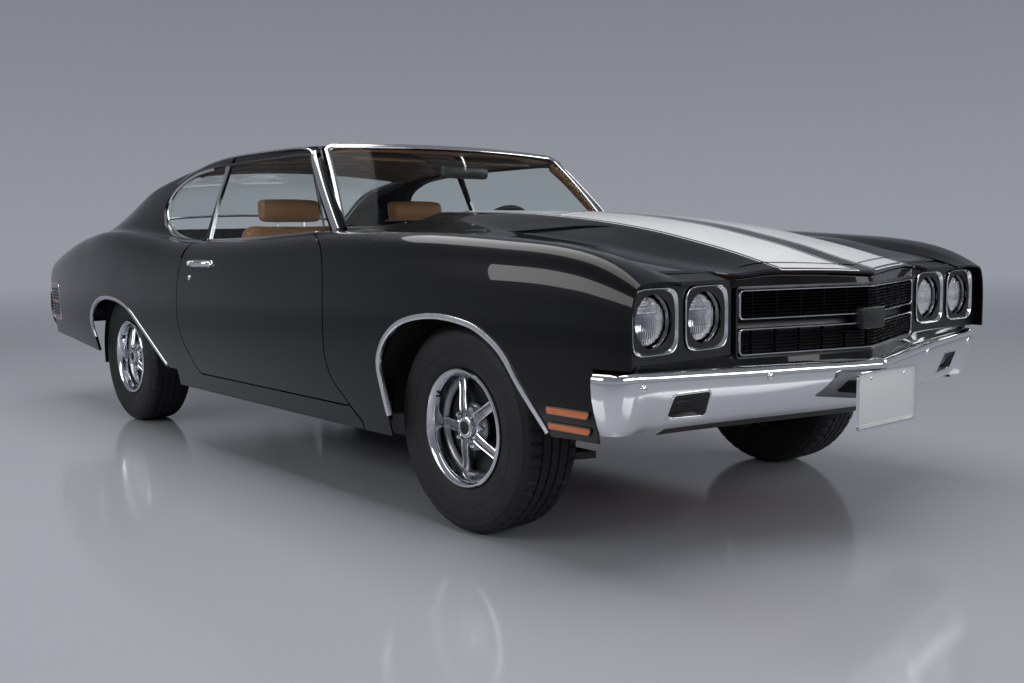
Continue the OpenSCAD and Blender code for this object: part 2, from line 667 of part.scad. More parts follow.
// ---- bumpers -------------------------------------------------------------
// Front bumper, columns: x, station of its face, top z, foot z.
FRONT_BAR = [
    [   0, -935, 555, 412],
    [ 120, -905, 556, 410],
    [ 300, -862, 560, 409],
    [ 480, -820, 563, 409],
    [ 640, -786, 568, 409],
    [ 800, -762, 574, 409],
    [ 890, -752, 577, 409]];
BAR_THICK = 12;
// The bar's face from its top shelf round to its foot, [rearward, share up].
BAR_FACE = [[64, 1.0], [22, 0.99], [4, 0.93], [0, 0.82], [3, 0.62],
    [16, 0.38], [36, 0.12], [52, 0.0]];
BAR_CORNER_X = 870;       // where the bar starts to turn round the fender
BAR_TURN = 82;            // radius of that turn
// Ring of the bar where its outward normal has swung by `turn` degrees.
function bar_ring(x, turn, thick) =
    let (y = Y(at(FRONT_BAR, x, 1)), z1 = at(FRONT_BAR, x, 2),
         z0 = at(FRONT_BAR, x, 3), shallow = x < 780 ? 1 :
         mix(1, 0.7, ease((x - 780) / (BAR_CORNER_X - 780))))
    [for (p = BAR_FACE)
        let (deep = p[0] * shallow + thick, r = BAR_TURN - deep,
             lip = thick * (1 - 2 * p[1]) / 2)
        [X(x) + r * sin(turn), y + BAR_TURN - r * cos(turn),
         mix(z0, z1, p[1]) + lip]];
function bar_side(thick) = concat(
    [for (x = spread(0, BAR_CORNER_X, 10)) bar_ring(x, 0, thick)],
    [for (a = spread(18, 90, 4)) bar_ring(BAR_CORNER_X, a, thick)]);
function flip_x(ring) = [for (p = ring) [-p[0], p[1], p[2]]];
function whole_bar(thick) = let (half = bar_side(thick)) concat(
    [for (i = [len(half) - 1:-1:1]) flip_x(half[i])], half);
IRON_GAP = 56.9;          // from the bumper's face to its irons
module front_bumper() {
    color(chrome) panel()
        loft(sheet(whole_bar(BAR_THICK), whole_bar(0)));
    // irons from the frame's horns
    color([0.1, 0.1, 0.1]) both_sides()
        block(X(FRAME_FRONT_X) - 25, X(FRAME_FRONT_X) + 25,
            Y(at(FRONT_BAR, FRAME_FRONT_X, 1)) + IRON_GAP, Y(-720) - seam,
            430, 470);
    plate_pad(Y(-905), 1, 425);
}
PLATE_HOLES = 178;       // spacing of a number plate's screws
// A pad with the two screw holes of a number plate, its face at y.
module plate_pad(y, way, z) {
    color([0.1, 0.1, 0.1])
        translate([0, y, z]) rotate([way * 90, 0, 0]) difference() {
            translate([-110, -14, 0]) cube([220, 28, 8]);
            for (x = [-1, 1]) translate([x * PLATE_HOLES / 2, 0, -1])
                cylinder(r = 3.5, h = 12);
        }
}
// Rear bumper, columns: x, station of its face.
REAR_BAR = [[0, 4065.5], [300, 4064], [600, 4060], [780, 4054], [850, 4050]];
REAR_BAR_TOP = 640;
REAR_BAR_FOOT = 440;
REAR_FACE = [[26, 1.0], [8, 0.99], [0, 0.95], [0, 0.55], [4, 0.35],
    [14, 0.12], [28, 0.0]];
REAR_CORNER_X = 838;
REAR_TURN = 64;
function rear_ring(x, turn, thick) =
    [for (p = REAR_FACE)
        let (r = REAR_TURN - p[0] - thick, lip = thick * (1 - 2 * p[1]) / 2)
        [X(x) + r * sin(turn), Y(at(REAR_BAR, x, 1)) - REAR_TURN
            + r * cos(turn), mix(REAR_BAR_FOOT, REAR_BAR_TOP, p[1]) + lip]];
function rear_side(thick) = concat(
    [for (x = spread(0, REAR_CORNER_X, 6)) rear_ring(x, 0, thick)],
    [for (a = spread(18, 90, 4)) rear_ring(REAR_CORNER_X, a, thick)]);
function whole_rear(thick) = let (half = rear_side(thick)) concat(
    [for (i = [len(half) - 1:-1:1]) flip_x(half[i])], half);
module rear_bumper() {
    color(chrome) panel()
        loft(sheet(whole_rear(0), whole_rear(BAR_THICK)));
    color([0.1, 0.1, 0.1]) both_sides()
        block(X(FRAME_REAR_X) - 25, X(FRAME_REAR_X) + 25,
            Y(3940) + seam, Y(4060) - BAR_THICK - 1, 440, 480);
    plate_pad(Y(4066), -1, 540);
}
TAIL_FOOT = 560;
TAIL_TOP = 808;
TAIL_S = 4003;
TAIL_THICK = 18;
SHELF_Z = 936;
// The tail panel under the lid, and the shelf behind the rear seat with the
// strip that runs up to the trunk opening.
module rear_body_panels() {
    edge = [for (p = inset(side_line(4003.5), wall + 0.9))
        if (p[1] > TAIL_FOOT && p[1] < TAIL_TOP) [X(p[0]), Z(p[1])]];
    half = concat([[edge[0][0], TAIL_FOOT]], edge,
        [[edge[len(edge) - 1][0], TAIL_TOP]]);
    color(paint) {
        translate([0, Y(TAIL_S), 0]) rotate([90, 0, 0])
            linear_extrude(TAIL_THICK)
                polygon(concat(half, [for (p = backwards(half))
                    [-p[0], p[1]]]));
        difference() {
            across([[2660, SHELF_Z - 8], [3160, SHELF_Z - 8], [3160, 962],
                [3206, 958], [3206, 966], [3152, 972], [3152, SHELF_Z],
                [2660, SHELF_Z]], -X(SHELF_X), X(SHELF_X));
            for (x = [-1, 1]) block(x * (X(LID_HINGE_X) + HINGE_PLATE / 2) - 14,
                x * (X(LID_HINGE_X) + HINGE_PLATE / 2) + 14, lid_hinge_y - 21,
                lid_hinge_y + 40, SHELF_Z - 20, 990);
        }
        // ears that carry the lid's hinge pins, and the shelf's legs
        both_sides() {
            block(X(660), X(680), axle_rear_y - 15, axle_rear_y + 15,
                tyre_r + rear_well_r + 4 + seam, SHELF_Z - 4);
            block(X(LID_HINGE_X) - 24, X(LID_HINGE_X) - 12, lid_hinge_y - 16,
                lid_hinge_y + 14, 940, LID_HINGE_Z + 13);
            bar_x(X(LID_HINGE_X) - 13, X(LID_HINGE_X) + 16, lid_hinge_y,
                LID_HINGE_Z, hinge_pin_r);
        }
    }
}
SHELF_X = 690;

// ---- frame, floor and inner panels ---------------------------------------
FRAME_FRONT_X = 365;
FRAME_MID_X = 640;
FRAME_REAR_X = 470;
RAIL_W = 70;
FRAME_KICK_S = 2415;      // where the frame rises over the rear axle
module chassis_frame() {
    color([0.08, 0.08, 0.08]) {
        both_sides() {
            block(X(FRAME_FRONT_X) - RAIL_W / 2, X(FRAME_FRONT_X) + RAIL_W / 2,
                Y(-720), Y(430), 380, 470);
            block(X(FRAME_FRONT_X) - RAIL_W / 2, X(FRAME_FRONT_X) + RAIL_W / 2,
                Y(430), Y(500), 205, 470);
            block(X(FRAME_FRONT_X) - RAIL_W / 2, X(FRAME_MID_X) + RAIL_W / 2,
                Y(500), Y(570), 205, 285);
            block(X(FRAME_MID_X) - RAIL_W / 2, X(FRAME_MID_X) + RAIL_W / 2,
                Y(570), Y(2275), 205, 285);
            block(X(FRAME_REAR_X) - RAIL_W / 2, X(FRAME_MID_X) + RAIL_W / 2,
                Y(2275), Y(2345), 205, 285);
            block(X(FRAME_REAR_X) - RAIL_W / 2, X(FRAME_REAR_X) + RAIL_W / 2,
                Y(2345), Y(FRAME_KICK_S), 205, 500);
            block(X(FRAME_REAR_X) - RAIL_W / 2, X(FRAME_REAR_X) + RAIL_W / 2,
                Y(FRAME_KICK_S), Y(3940), 420, 500);
        }
        for (s = [-60, 3000, 3860])
            block(-X(s < 0 ? FRAME_FRONT_X : FRAME_REAR_X),
                X(s < 0 ? FRAME_FRONT_X : FRAME_REAR_X),
                Y(s), Y(s) + 60, s < 0 ? 300 : 440,
                s < 0 ? 395 : 500);
        for (s = [900, 2210]) difference() {
            block(-X(FRAME_MID_X), X(FRAME_MID_X), Y(s), Y(s) + 60, 205, 285);
            for (x = [-1, 1]) bar_y(x * X(EXHAUST_X), EXHAUST_Z, Y(s) - 1,
                Y(s) + 61, EXHAUST_R + seam);
        }
    }
}
TUNNEL_X = 150;
TUNNEL_Z = 440;
REAR_FLOOR_Z = 545;
PLATE = 8;
module floor_pan() {
    half = X(745) - seam;
    color([0.12, 0.12, 0.12]) {
        translate([0, Y(2330), 0]) rotate([90, 0, 0])
            linear_extrude(Y(2330) - Y(572))
                polygon([[-half, floor_z - PLATE], [-TUNNEL_X, floor_z - PLATE],
                    [-TUNNEL_X + 40, TUNNEL_Z - PLATE],
                    [TUNNEL_X - 40, TUNNEL_Z - PLATE],
                    [TUNNEL_X, floor_z - PLATE], [half, floor_z - PLATE],
                    [half, floor_z], [TUNNEL_X + 8, floor_z],
                    [TUNNEL_X - 34, TUNNEL_Z], [-TUNNEL_X + 34, TUNNEL_Z],
                    [-TUNNEL_X - 8, floor_z], [-half, floor_z]]);
        difference() {
            block(-REAR_WELL_X, REAR_WELL_X, Y(2330), Y(2330) + PLATE,
                floor_z - PLATE, REAR_FLOOR_Z);
            block(-DRIVE_R - 22, DRIVE_R + 22, Y(2330) - 1,
                Y(2330) + PLATE + 1, floor_z - 20, TUNNEL_Z - 20);
        }
        block(-REAR_WELL_X, REAR_WELL_X, Y(2330), Y(3984),
            REAR_FLOOR_Z - PLATE, REAR_FLOOR_Z);
    }
}
FIREWALL_S = 545;
COWL_Z = 868;
module cowl_panel() {
    color(paint) {
        block(-X(735), X(735), Y(FIREWALL_S), Y(FIREWALL_S) + 20, 306, COWL_Z);
        block(-X(738), X(738), Y(FIREWALL_S), Y(940), COWL_Z, COWL_Z + 8);
        block(-X(760), X(760), Y(908), Y(944.5), COWL_Z, 941);
        both_sides() {
            block(X(700), X(738), Y(FIREWALL_S) - 4, PILLAR_Y1, 306, COWL_Z);
            block(X(700), PILLAR_X1, PILLAR_Y0, PILLAR_Y1, 488, COWL_Z);
            block(X(726), X(760), Y(884), Y(930), COWL_Z,
                PILLAR_FOOT_Z - 0.5);
            for (z = HINGE_Z) hinge_strap(z);
            // the fender's bracket
            block(X(730), X(at(SIDE, 580, 1)) - skin - seam, Y(562), Y(598),
                606, 616);
            // ears that carry the hood's hinge pins
            block(X(HOOD_HINGE_X) - 28, X(HOOD_HINGE_X) - 12,
                hood_hinge_y - 18, hood_hinge_y + 18, COWL_Z,
                HOOD_HINGE_Z + 13);
            bar_x(X(HOOD_HINGE_X) - 13, X(HOOD_HINGE_X) + 18, hood_hinge_y,
                HOOD_HINGE_Z, hinge_pin_r);
        }
    }
    // the strip that the windshield stands on
    color(paint) panel() loft(sheet(cowl_strip(0), cowl_strip(8)));
}
function cowl_strip(drop) =
    [for (u = spread(-0.98, 0.98, 8)) let (p = shield_point(u, 0))
        [p + [0, 2, -4.5 - drop], [p[0], Y(930), p[2] - 4.5 - drop]]];
TYRE_ROOM = 42;
function arch_ring(r) = [for (a = [-14:11.6:194]) [r * cos(a), r * sin(a)]];
front_well_r = 408 + (tyre_r - 333);
rear_well_r = tyre_r + 38;
FRONT_WELL_X = 438;
REAR_WELL_X = track_rear / 2 - tyre_w / 2 - TYRE_ROOM;
FRONT_HOOP_LOW = 120;      // the hoops end this far above the axle
module wheelhouses() {
    x0 = X(FRAME_FRONT_X) + RAIL_W / 2 + seam;
    color([0.1, 0.1, 0.1]) both_sides() {
        // front: a hoop over the tyre's steered sweep, and its apron
        translate([x0, axle_front_y, tyre_r]) rotate([90, 0, 90]) {
            linear_extrude(X(904) - x0) difference() {
                intersection() {
                    circle(r = front_well_r + 4);
                    translate([-600, FRONT_HOOP_LOW]) square([1200, 700]);
                }
                circle(r = front_well_r);
            }
            translate([0, 0, X(FRONT_WELL_X) - x0]) linear_extrude(6)
                difference() {
                    circle(r = front_well_r + 1);
                    translate([-600, -600])
                        square([1200, 600 + FRONT_HOOP_LOW]);
                    translate([-150, 0]) square([300, 215]);
                }
        }
        // rear: a hoop and its inner wall, open round the axle
        translate([REAR_WELL_X + seam, axle_rear_y, tyre_r])
            rotate([90, 0, 90]) difference() {
                linear_extrude(X(900) - wall - REAR_WELL_X)
                    intersection() {
                        circle(r = rear_well_r + 4);
                        translate([-600, -60]) square([1200, 700]);
                    }
                translate([0, 0, PLATE / 2]) linear_extrude(600)
                    circle(r = rear_well_r);
                translate([-AXLE_R - 20, -100, -1])
                    cube([2 * AXLE_R + 40, 100 + AXLE_R + 20, 20]);
            }
    }
}
module rocker_panels() {
    z0 = 272;
    z1 = 352 - panel_gap;
    color(paint) both_sides()
        difference() {
            block(X(745), X(915), Y(FENDER_FOOT_S) + 90, Y(2052), z0, z1);
            block(X(760), X(900), Y(FENDER_FOOT_S) + 100, Y(2042),
                z0 - 1, z1 - 10);
        }
}

// ---- cabin ---------------------------------------------------------------
SEAT_FOOT_Z = 445.4;
module front_seats() {
    color(tan_hide) both_sides() {
        translate([X(seat_x) - seat_w / 2, 0, 0]) rotate([90, 0, 90])
            linear_extrude(seat_w)
                polygon([for (p = [[1300, SEAT_FOOT_Z], [1290, 520], [1320, 560],
                    [1740, 520], [1925, 1000], [1990, 1000], [2010, 960],
                    [1870, SEAT_FOOT_Z]]) [Y(p[0]), p[1]]]);
        translate([X(seat_x) - 150, 0, 0]) rotate([90, 0, 90])
            linear_extrude(300)
                polygon([for (p = [[1940, 1000.4], [1955, 1120], [2030, 1120],
                    [1986, 1000.4]]) [Y(p[0]), p[1]]]);
        block(X(seat_x) - 180, X(seat_x) + 180, Y(1360), Y(1830),
            floor_z + seam, SEAT_FOOT_Z);
    }
}
module rear_seat() {
    w = 560;
    color(tan_hide) translate([-w, 0, 0]) rotate([90, 0, 90])
        linear_extrude(2 * w)
            polygon([for (p = [[2070, 445.4], [2060, 520], [2090, 566],
                [2440, 560], [2560, 925], [2650, 925], [2610, 545.4],
                [2316, 545.4], [2316, 445.4]]) [Y(p[0]), p[1]]]);
}
module dashboard() {
    color(tan_hide) difference() {
        translate([-X(690), 0, 0]) rotate([90, 0, 90])
            linear_extrude(2 * X(690))
                polygon([for (p = [[945, 700], [945, 925], [1000, 956],
                    [1120, 940], [1150, 900], [1120, 720], [1040, 660]])
                    [Y(p[0]), p[1]]]);
        along_column() translate([0, 0, -400])
            cylinder(r = COLUMN_R + seam, h = 400);
    }
}
STEER_X = 372;
STEER_TILT = 24;
STEER_S = 1290;
STEER_Z = 890;
COLUMN_R = 32;
// Column axis runs forward and down from the steering wheel's hub.
module along_column() {
    translate([X(STEER_X), Y(STEER_S), STEER_Z])
        rotate([STEER_TILT - 90, 0, 0]) children();
}
module steering_wheel() {
    color([0.03, 0.03, 0.03]) along_column() {
        rotate_extrude() translate([steering_r - 14, 0]) circle(r = 14);
        difference() {
            union() {
                translate([0, 0, -20]) cylinder(r = 60, h = 40);
                for (a = [0, 120, 240]) rotate([0, 0, a + 90])
                    translate([50, -15, -6])
                        cube([steering_r - 70, 30, 12]);
            }
            translate([0, 0, -30]) cylinder(r = shaft_r + pin_clear, h = 42);
        }
    }
}
module steering_column() {
    color([0.03, 0.03, 0.03]) along_column() {
        translate([0, 0, -140]) cylinder(r = shaft_r, h = 148);
        translate([0, 0, -330]) cylinder(r = COLUMN_R, h = 280);
    }
}

// ---- running gear --------------------------------------------------------
ENGINE_Z = 395 + seam;
module engine() {
    color([0.85, 0.35, 0.12]) {
        block(-270, 270, Y(-560), Y(230), ENGINE_Z, 800);
        block(-130, 130, Y(230), Y(540), ENGINE_Z, 640);
    }
}
AXLE_R = 38;
DIFF_R = 130;
DRIVE_R = 38;
// The rear axle's tube, differential, drums, spindles and propeller shaft.
module rear_axle() {
    end = track_rear / 2;
    color([0.15, 0.15, 0.15]) {
        bar_x(-end + 70, end - 70, axle_rear_y, tyre_r, AXLE_R);
        both_sides() {
            bar_x(end - 100, end - 52, axle_rear_y, tyre_r, 120);
            bar_x(end - 52, end + 40, axle_rear_y, tyre_r, spindle_r);
        }
        bar_y(0, tyre_r, axle_rear_y - 100, axle_rear_y + 95, DIFF_R);
        bar_y(0, 345, Y(1150), axle_rear_y - 90, DRIVE_R);
        // trailing arms to the frame
        both_sides() block(X(FRAME_REAR_X) - 20, X(FRAME_REAR_X) + 20,
            Y(FRAME_KICK_S) + seam, axle_rear_y, tyre_r - 30, tyre_r + 10);
    }
    color([0.2, 0.2, 0.2]) {
        block(-70, 70, Y(566), Y(1150), 320, 425);
        both_sides() translate([X(FRAME_REAR_X), axle_rear_y, tyre_r + 30])
            cylinder(r = 50, h = 420 - tyre_r - 30 - seam);
    }
}
kingpin_x = track_front / 2 - kingpin_offset;
STUD_R = 10;
STUD_REACH = 130;
module knuckle(side) {
    out = track_front / 2;
    color([0.2, 0.2, 0.2]) on_side(side) {
        translate([kingpin_x, axle_front_y, tyre_r - STUD_REACH - 20])
            cylinder(r = STUD_R, h = 2 * STUD_REACH + 40);
        block(kingpin_x - 18, kingpin_x + 18, axle_front_y - 18,
            axle_front_y + 18, tyre_r - STUD_REACH + 16,
            tyre_r + STUD_REACH - 16);
        bar_x(kingpin_x + 15, out + 40, axle_front_y, tyre_r, spindle_r);
    }
}
ARM_T = 24;
module front_suspension() {
    color([0.12, 0.12, 0.12]) both_sides() for (k = [-1, 1])
        translate([0, axle_front_y, tyre_r + k * STUD_REACH - ARM_T / 2])
            difference() {
                linear_extrude(ARM_T)
                    polygon([[kingpin_x + 20, -20], [kingpin_x + 20, 20],
                        [kingpin_x - 60, 34],
                        [X(FRAME_FRONT_X) + RAIL_W / 2 + seam, 130],
                        [X(FRAME_FRONT_X) + RAIL_W / 2 + seam, -130],
                        [kingpin_x - 60, -34]]);
                translate([kingpin_x, 0, -1])
                    cylinder(r = STUD_R + pin_clear, h = ARM_T + 2);
            }
}
RIM_T = 5;
module tyre(x, y) {
    w = tyre_w / 2;
    color([0.03, 0.03, 0.03]) translate([x, y, tyre_r]) rotate([0, 90, 0])
        rotate_extrude($fn = 96) polygon([[bead_r, -w + 25], [bead_r + 40,
            -w + 6], [tyre_r - 60, -w], [tyre_r - 25, -w + 8],
            [tyre_r - 6, -w + 24], [tyre_r, -w + 45], [tyre_r, w - 45],
            [tyre_r - 6, w - 24], [tyre_r - 25, w - 8], [tyre_r - 60, w],
            [bead_r + 40, w - 6], [bead_r, w - 25]]);
}
// A deep five-spoke wheel; face is +1 when its outside looks along +X.
module wheel(x, y, face) {
    w = tyre_w / 2;
    r = bead_r - seam;
    // half a turn on the right, so both wheels' holes lie on the same lines
    phase = face < 0 ? 180 : 0;
    color(chrome) translate([x, y, tyre_r]) rotate([0, 90 * face, 0]) {
        rotate_extrude($fn = 96) polygon([[r, -w + 26], [r, w - 24],
            [r - 2, w - 10], [r - 12, w - 26], [r - 12, -w + 26]]);
        difference() {
            translate([0, 0, 30]) cylinder(r = r - 11, h = 14);
            for (k = [0:4]) rotate([0, 0, 72 * k + 36 + phase])
                translate([112, 0, 20]) cylinder(r = 42, h = 40);
            for (k = [0:4]) rotate([0, 0, 72 * k + phase])
                translate([bolt_circle / 2, 0, 20])
                    cylinder(r = bolt_hole_r, h = 40);
            translate([0, 0, 20]) cylinder(r = spindle_r + pin_clear, h = 40);
        }
        difference() {
            translate([0, 0, -36]) cylinder(r = 46, h = 67);
            translate([0, 0, -40])
                cylinder(r = spindle_r + pin_clear, h = 80);
        }
    }
}
EXHAUST_X = 250;
EXHAUST_Z = 240;
EXHAUST_R = 28;
module exhaust() {
    color([0.4, 0.4, 0.42]) both_sides() {
        bar_y(X(EXHAUST_X), EXHAUST_Z, Y(600), Y(2330), EXHAUST_R);
        bar_y(X(EXHAUST_X), EXHAUST_Z - 10, Y(1500), Y(1950), 52);
    }
}
module fuel_tank() {
    color([0.3, 0.3, 0.3])
        block(-380, 380, Y(3180), Y(3720), 340, REAR_FLOOR_Z - PLATE - seam);
}

chassis_frame();
floor_pan();
cowl_panel();
wheelhouses();
roof_panel();
quarter_panel(1);  // quarter_panel_left
quarter_panel(-1);  // quarter_panel_right
front_fender(1);  // front_fender_left
front_fender(-1);  // front_fender_right
rocker_panels();
nose_panel();
grille();
headlamps();
front_bumper();
rear_bumper();
rear_body_panels();
windshield();
rear_window();
quarter_glasses();
front_seats();
rear_seat();
dashboard();
steering_column();
steering_wheel();
engine();
rear_axle();
front_suspension();
exhaust();
fuel_tank();
tyre(track_front / 2, axle_front_y);  // tyre_front_left
tyre(-track_front / 2, axle_front_y);  // tyre_front_right
tyre(track_rear / 2, axle_rear_y);  // tyre_rear_left
tyre(-track_rear / 2, axle_rear_y);  // tyre_rear_right
wheel(track_front / 2, axle_front_y, 1);  // wheel_front_left
wheel(-track_front / 2, axle_front_y, -1);  // wheel_front_right
wheel(track_rear / 2, axle_rear_y, 1);  // wheel_rear_left
wheel(-track_rear / 2, axle_rear_y, -1);  // wheel_rear_right
knuckle(1);  // knuckle_left
knuckle(-1);  // knuckle_right
door(1);  // door_left
door(-1);  // door_right
door_glass(1);  // door_glass_left
door_glass(-1);  // door_glass_right
hood();
trunk_lid();
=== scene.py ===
# %% [markdown]
# # A two-door hardtop muscle car
# The measured car arrives as a fixed frame: every piece stands at its real
# place, and the bodies that turn (wheels, doors, hood, trunk lid) are known by
# name. This lesson dresses that frame. The paintwork shows every wave of the
# surface below it, so the panels are drawn again with fine smooth surfaces from
# the same tables of sizes, and the small parts, glass, wheels and seats are
# built one after the other.

# %% Load the frame
import math
import random
import bpy
import bmesh
import numpy as np
from mathutils import Matrix, Vector
from mathutils.bvhtree import BVHTree
from mathutils.interpolate import poly_3d_calc


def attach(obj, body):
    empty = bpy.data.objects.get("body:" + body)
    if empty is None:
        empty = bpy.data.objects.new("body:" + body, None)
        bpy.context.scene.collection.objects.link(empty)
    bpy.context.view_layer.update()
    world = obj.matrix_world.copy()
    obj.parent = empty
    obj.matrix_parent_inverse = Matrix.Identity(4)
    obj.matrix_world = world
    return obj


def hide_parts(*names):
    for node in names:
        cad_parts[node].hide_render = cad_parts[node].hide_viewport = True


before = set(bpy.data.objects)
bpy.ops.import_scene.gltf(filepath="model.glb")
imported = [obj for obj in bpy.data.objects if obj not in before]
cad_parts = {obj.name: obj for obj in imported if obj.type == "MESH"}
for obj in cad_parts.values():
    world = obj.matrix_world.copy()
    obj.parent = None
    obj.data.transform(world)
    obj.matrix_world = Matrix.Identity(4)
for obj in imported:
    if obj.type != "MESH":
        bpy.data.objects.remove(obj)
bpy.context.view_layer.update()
random.seed(7)

# %% [markdown]
# ## Sizes
# A car is drawn in stations: distances behind the front axle, in millimetres.
# A point is therefore (x to the car's left, station, height). The frame is in
# metres with its origin below the middle of the car, so one small function
# turns the drawing's numbers into the scene's.

# %% From drawing to scene
AXLE = 1569.5
def pt(x, s, z):
    return Vector((x / 1000, (s - AXLE) / 1000, z / 1000))

def mix(a, b, t):
    return a + (b - a) * t

def ease(t):
    t = max(0.0, min(1.0, t))
    return t * t * (3 - 2 * t)

def spread(a, b, n):
    return [mix(a, b, k / n) for k in range(n + 1)]

# %% [markdown]
# ## The body's lines
# Each table is a set of cross sections, as a body draughtsman would lay them
# out on the lofting floor. A curve through the rows gives every section between
# them, and a little smoothing along the car takes out the last waves, since a
# gloss black panel mirrors them all.

# %% The side's sections
# Columns: station, widest x and its z, shoulder x and z, ridge x and z, inner
# edge x and z, foot x and z.
SIDE = np.array([
    [-775, 914, 650, 858, 800, 790, 804, 722, 800, 900, 385],
    [-740, 925, 645, 850, 826, 785, 824, 721, 815, 906, 385],
    [-690, 931, 640, 846, 848, 783, 843, 720, 826, 910, 385],
    [-620, 936, 635, 844, 874, 782, 866, 720, 842, 914, 385],
    [-468, 941, 625, 842, 901, 781, 892, 720, 869, 918, 380],
    [-250, 946, 620, 838, 919, 780, 917, 720, 905, 922, 340],
    [47, 950, 615, 836, 937, 780, 935, 722, 926, 922, 290],
    [280, 952, 610, 834, 945, 780, 944, 725, 938, 920, 276],
    [665, 953, 605, 822, 952, 780, 954, 732, 955, 915, 274],
    [900, 953, 600, 806, 951, 775, 958, 745, 962, 914, 274],
    [1150, 954, 600, 800, 942, 760, 990, 745, 1010, 914, 274],
    [1500, 955, 600, 800, 931, 660, 1295, 632, 1300, 914, 274],
    [1900, 956, 600, 800, 925, 652, 1300, 630, 1304, 914, 274],
    [2183, 957, 600, 806, 932, 654, 1291, 624, 1296, 914, 276],
    [2400, 957, 605, 814, 950, 662, 1266, 616, 1276, 916, 290],
    [2617, 956, 610, 824, 968, 676, 1232, 612, 1246, 918, 310],
    [2842, 955, 615, 828, 982, 694, 1186, 612, 1202, 920, 330],
    [3050, 951, 620, 826, 984, 724, 1092, 626, 1098, 920, 345],
    [3165, 948, 623, 818, 980, 742, 1040, 642, 1042, 919, 352],
    [3250, 945, 625, 808, 974, 752, 1008, 652, 1008, 918, 360],
    [3420, 938, 630, 798, 957, 752, 968, 676, 966, 914, 372],
    [3600, 928, 635, 788, 930, 745, 938, 684, 936, 906, 385],
    [3850, 908, 640, 775, 882, 735, 890, 690, 888, 890, 395],
    [4010, 890, 640, 765, 846, 728, 852, 690, 850, 876, 400]], float)
ROOF = np.array([
    [1152, 640, 1294, 1318], [1240, 645, 1301, 1325], [1450, 649, 1305, 1333],
    [1800, 650, 1305, 1336], [2000, 650, 1301, 1334], [2183, 640, 1296, 1329],
    [2350, 630, 1284, 1317], [2489, 620, 1265, 1300]], float)
# Columns: station, z at the seam, the valley, the dome's edge, the middle.
HOOD = np.array([
    [-890, 792, 794, 800, 806], [-800, 806, 806, 822, 829],
    [-698, 822, 820, 850, 858], [-620, 841, 830, 872, 882],
    [-485, 866, 850, 903, 914], [-300, 903, 880, 941, 953],
    [-50, 920, 910, 977, 988], [200, 934, 938, 1001, 1010],
    [400, 943, 962, 1013, 1021], [850, 960, 985, 1028, 1036]], float)
DECK = np.array([
    [3140, 1000, 1012], [3216, 985, 998], [3350, 970, 983], [3500, 948, 962],
    [3700, 914, 927], [3900, 872, 884], [4010, 842, 852]], float)

# %% Curves through the tables
def faired(table, step=5.0, soft=40.0):
    """The table's columns at every few millimetres, as a smooth curve."""
    s = table[:, 0]
    grid = np.arange(s[0], s[-1] + step, step)
    grid[-1] = s[-1]
    slopes = np.empty_like(table)
    for i in range(len(table)):
        a, b = max(0, i - 1), min(len(table) - 1, i + 1)
        slopes[i] = (table[b] - table[a]) / (s[b] - s[a])
    row = np.clip(np.searchsorted(s, grid, "right") - 1, 0, len(s) - 2)
    h = (s[row + 1] - s[row])[:, None]
    u = ((grid - s[row]) / h[:, 0])[:, None]
    value = ((1 + 2 * u) * (1 - u) ** 2 * table[row]
             + u * (1 - u) ** 2 * h * slopes[row]
             + u * u * (3 - 2 * u) * table[row + 1]
             - u * u * (1 - u) * h * slopes[row + 1])
    n = int(3 * soft / step)
    kernel = np.exp(-0.5 * (np.arange(-n, n + 1) * step / soft) ** 2)
    kernel /= kernel.sum()
    out = value.copy()
    for c in range(1, table.shape[1]):
        v = value[:, c]
        ends = np.concatenate([2 * v[0] - v[n:0:-1], v, 2 * v[-1] - v[-2:-n - 2:-1]])
        out[:, c] = np.convolve(ends, kernel, "valid")
    out[:, 0] = grid
    return out

FAIR = {"side": faired(SIDE), "roof": faired(ROOF), "hood": faired(HOOD, soft=30),
        "deck": faired(DECK)}
def at(name, s, c):
    f = FAIR[name]
    return float(np.interp(s, f[:, 0], f[:, c]))
print("widest half width:", round(at("side", 2183, 1)), "mm")

# %% [markdown]
# The side's section is one curve: a lower side that tucks under, a squarish
# shoulder (a superellipse with exponent 2.8), a straight ridge that is the sail
# panel beside the rear window, and a narrow inner edge.

# %% The side's section curve
SQUARE, TUCK = 2.8, 2.2
def section(s, low=12, shoulder=22, ridge=10, edge=3, topped=True):
    hw, zw, bx, bz, tx, tz, ex, ez, hr, zr = (at("side", s, c) for c in range(1, 11))
    line = []
    for k in range(low):
        f = k / low
        line.append((hw - (hw - hr) * (1 - f) ** TUCK, mix(zr, zw, f)))
    for k in range(shoulder + 1):
        a = math.pi / 2 * k / shoulder
        c, n = max(0.0, math.cos(a)), math.sin(a)
        line.append((bx + (hw - bx) * c ** (2 / SQUARE), zw + (bz - zw) * n ** (2 / SQUARE)))
    if topped:
        line += [(mix(bx, tx, k / ridge), mix(bz, tz, k / ridge)) for k in range(1, ridge + 1)]
        line += [(mix(tx, ex, k / edge), mix(tz, ez, k / edge)) for k in range(1, edge + 1)]
    return line

def side_x(s, z):
    """How far out the body's side is at a station and height."""
    hw, zw, bx, bz, tx, tz, ex, ez, hr, zr = (at("side", s, c) for c in range(1, 11))
    if z < zw:
        f = max(0.0, min(1.0, (z - zr) / (zw - zr)))
        return hw - (hw - hr) * (1 - f) ** TUCK
    if z < bz:
        return bx + (hw - bx) * (1 - ((z - zw) / (bz - zw)) ** SQUARE) ** (1 / SQUARE)
    return mix(bx, tx, min(1.0, (z - bz) / (tz - bz)))

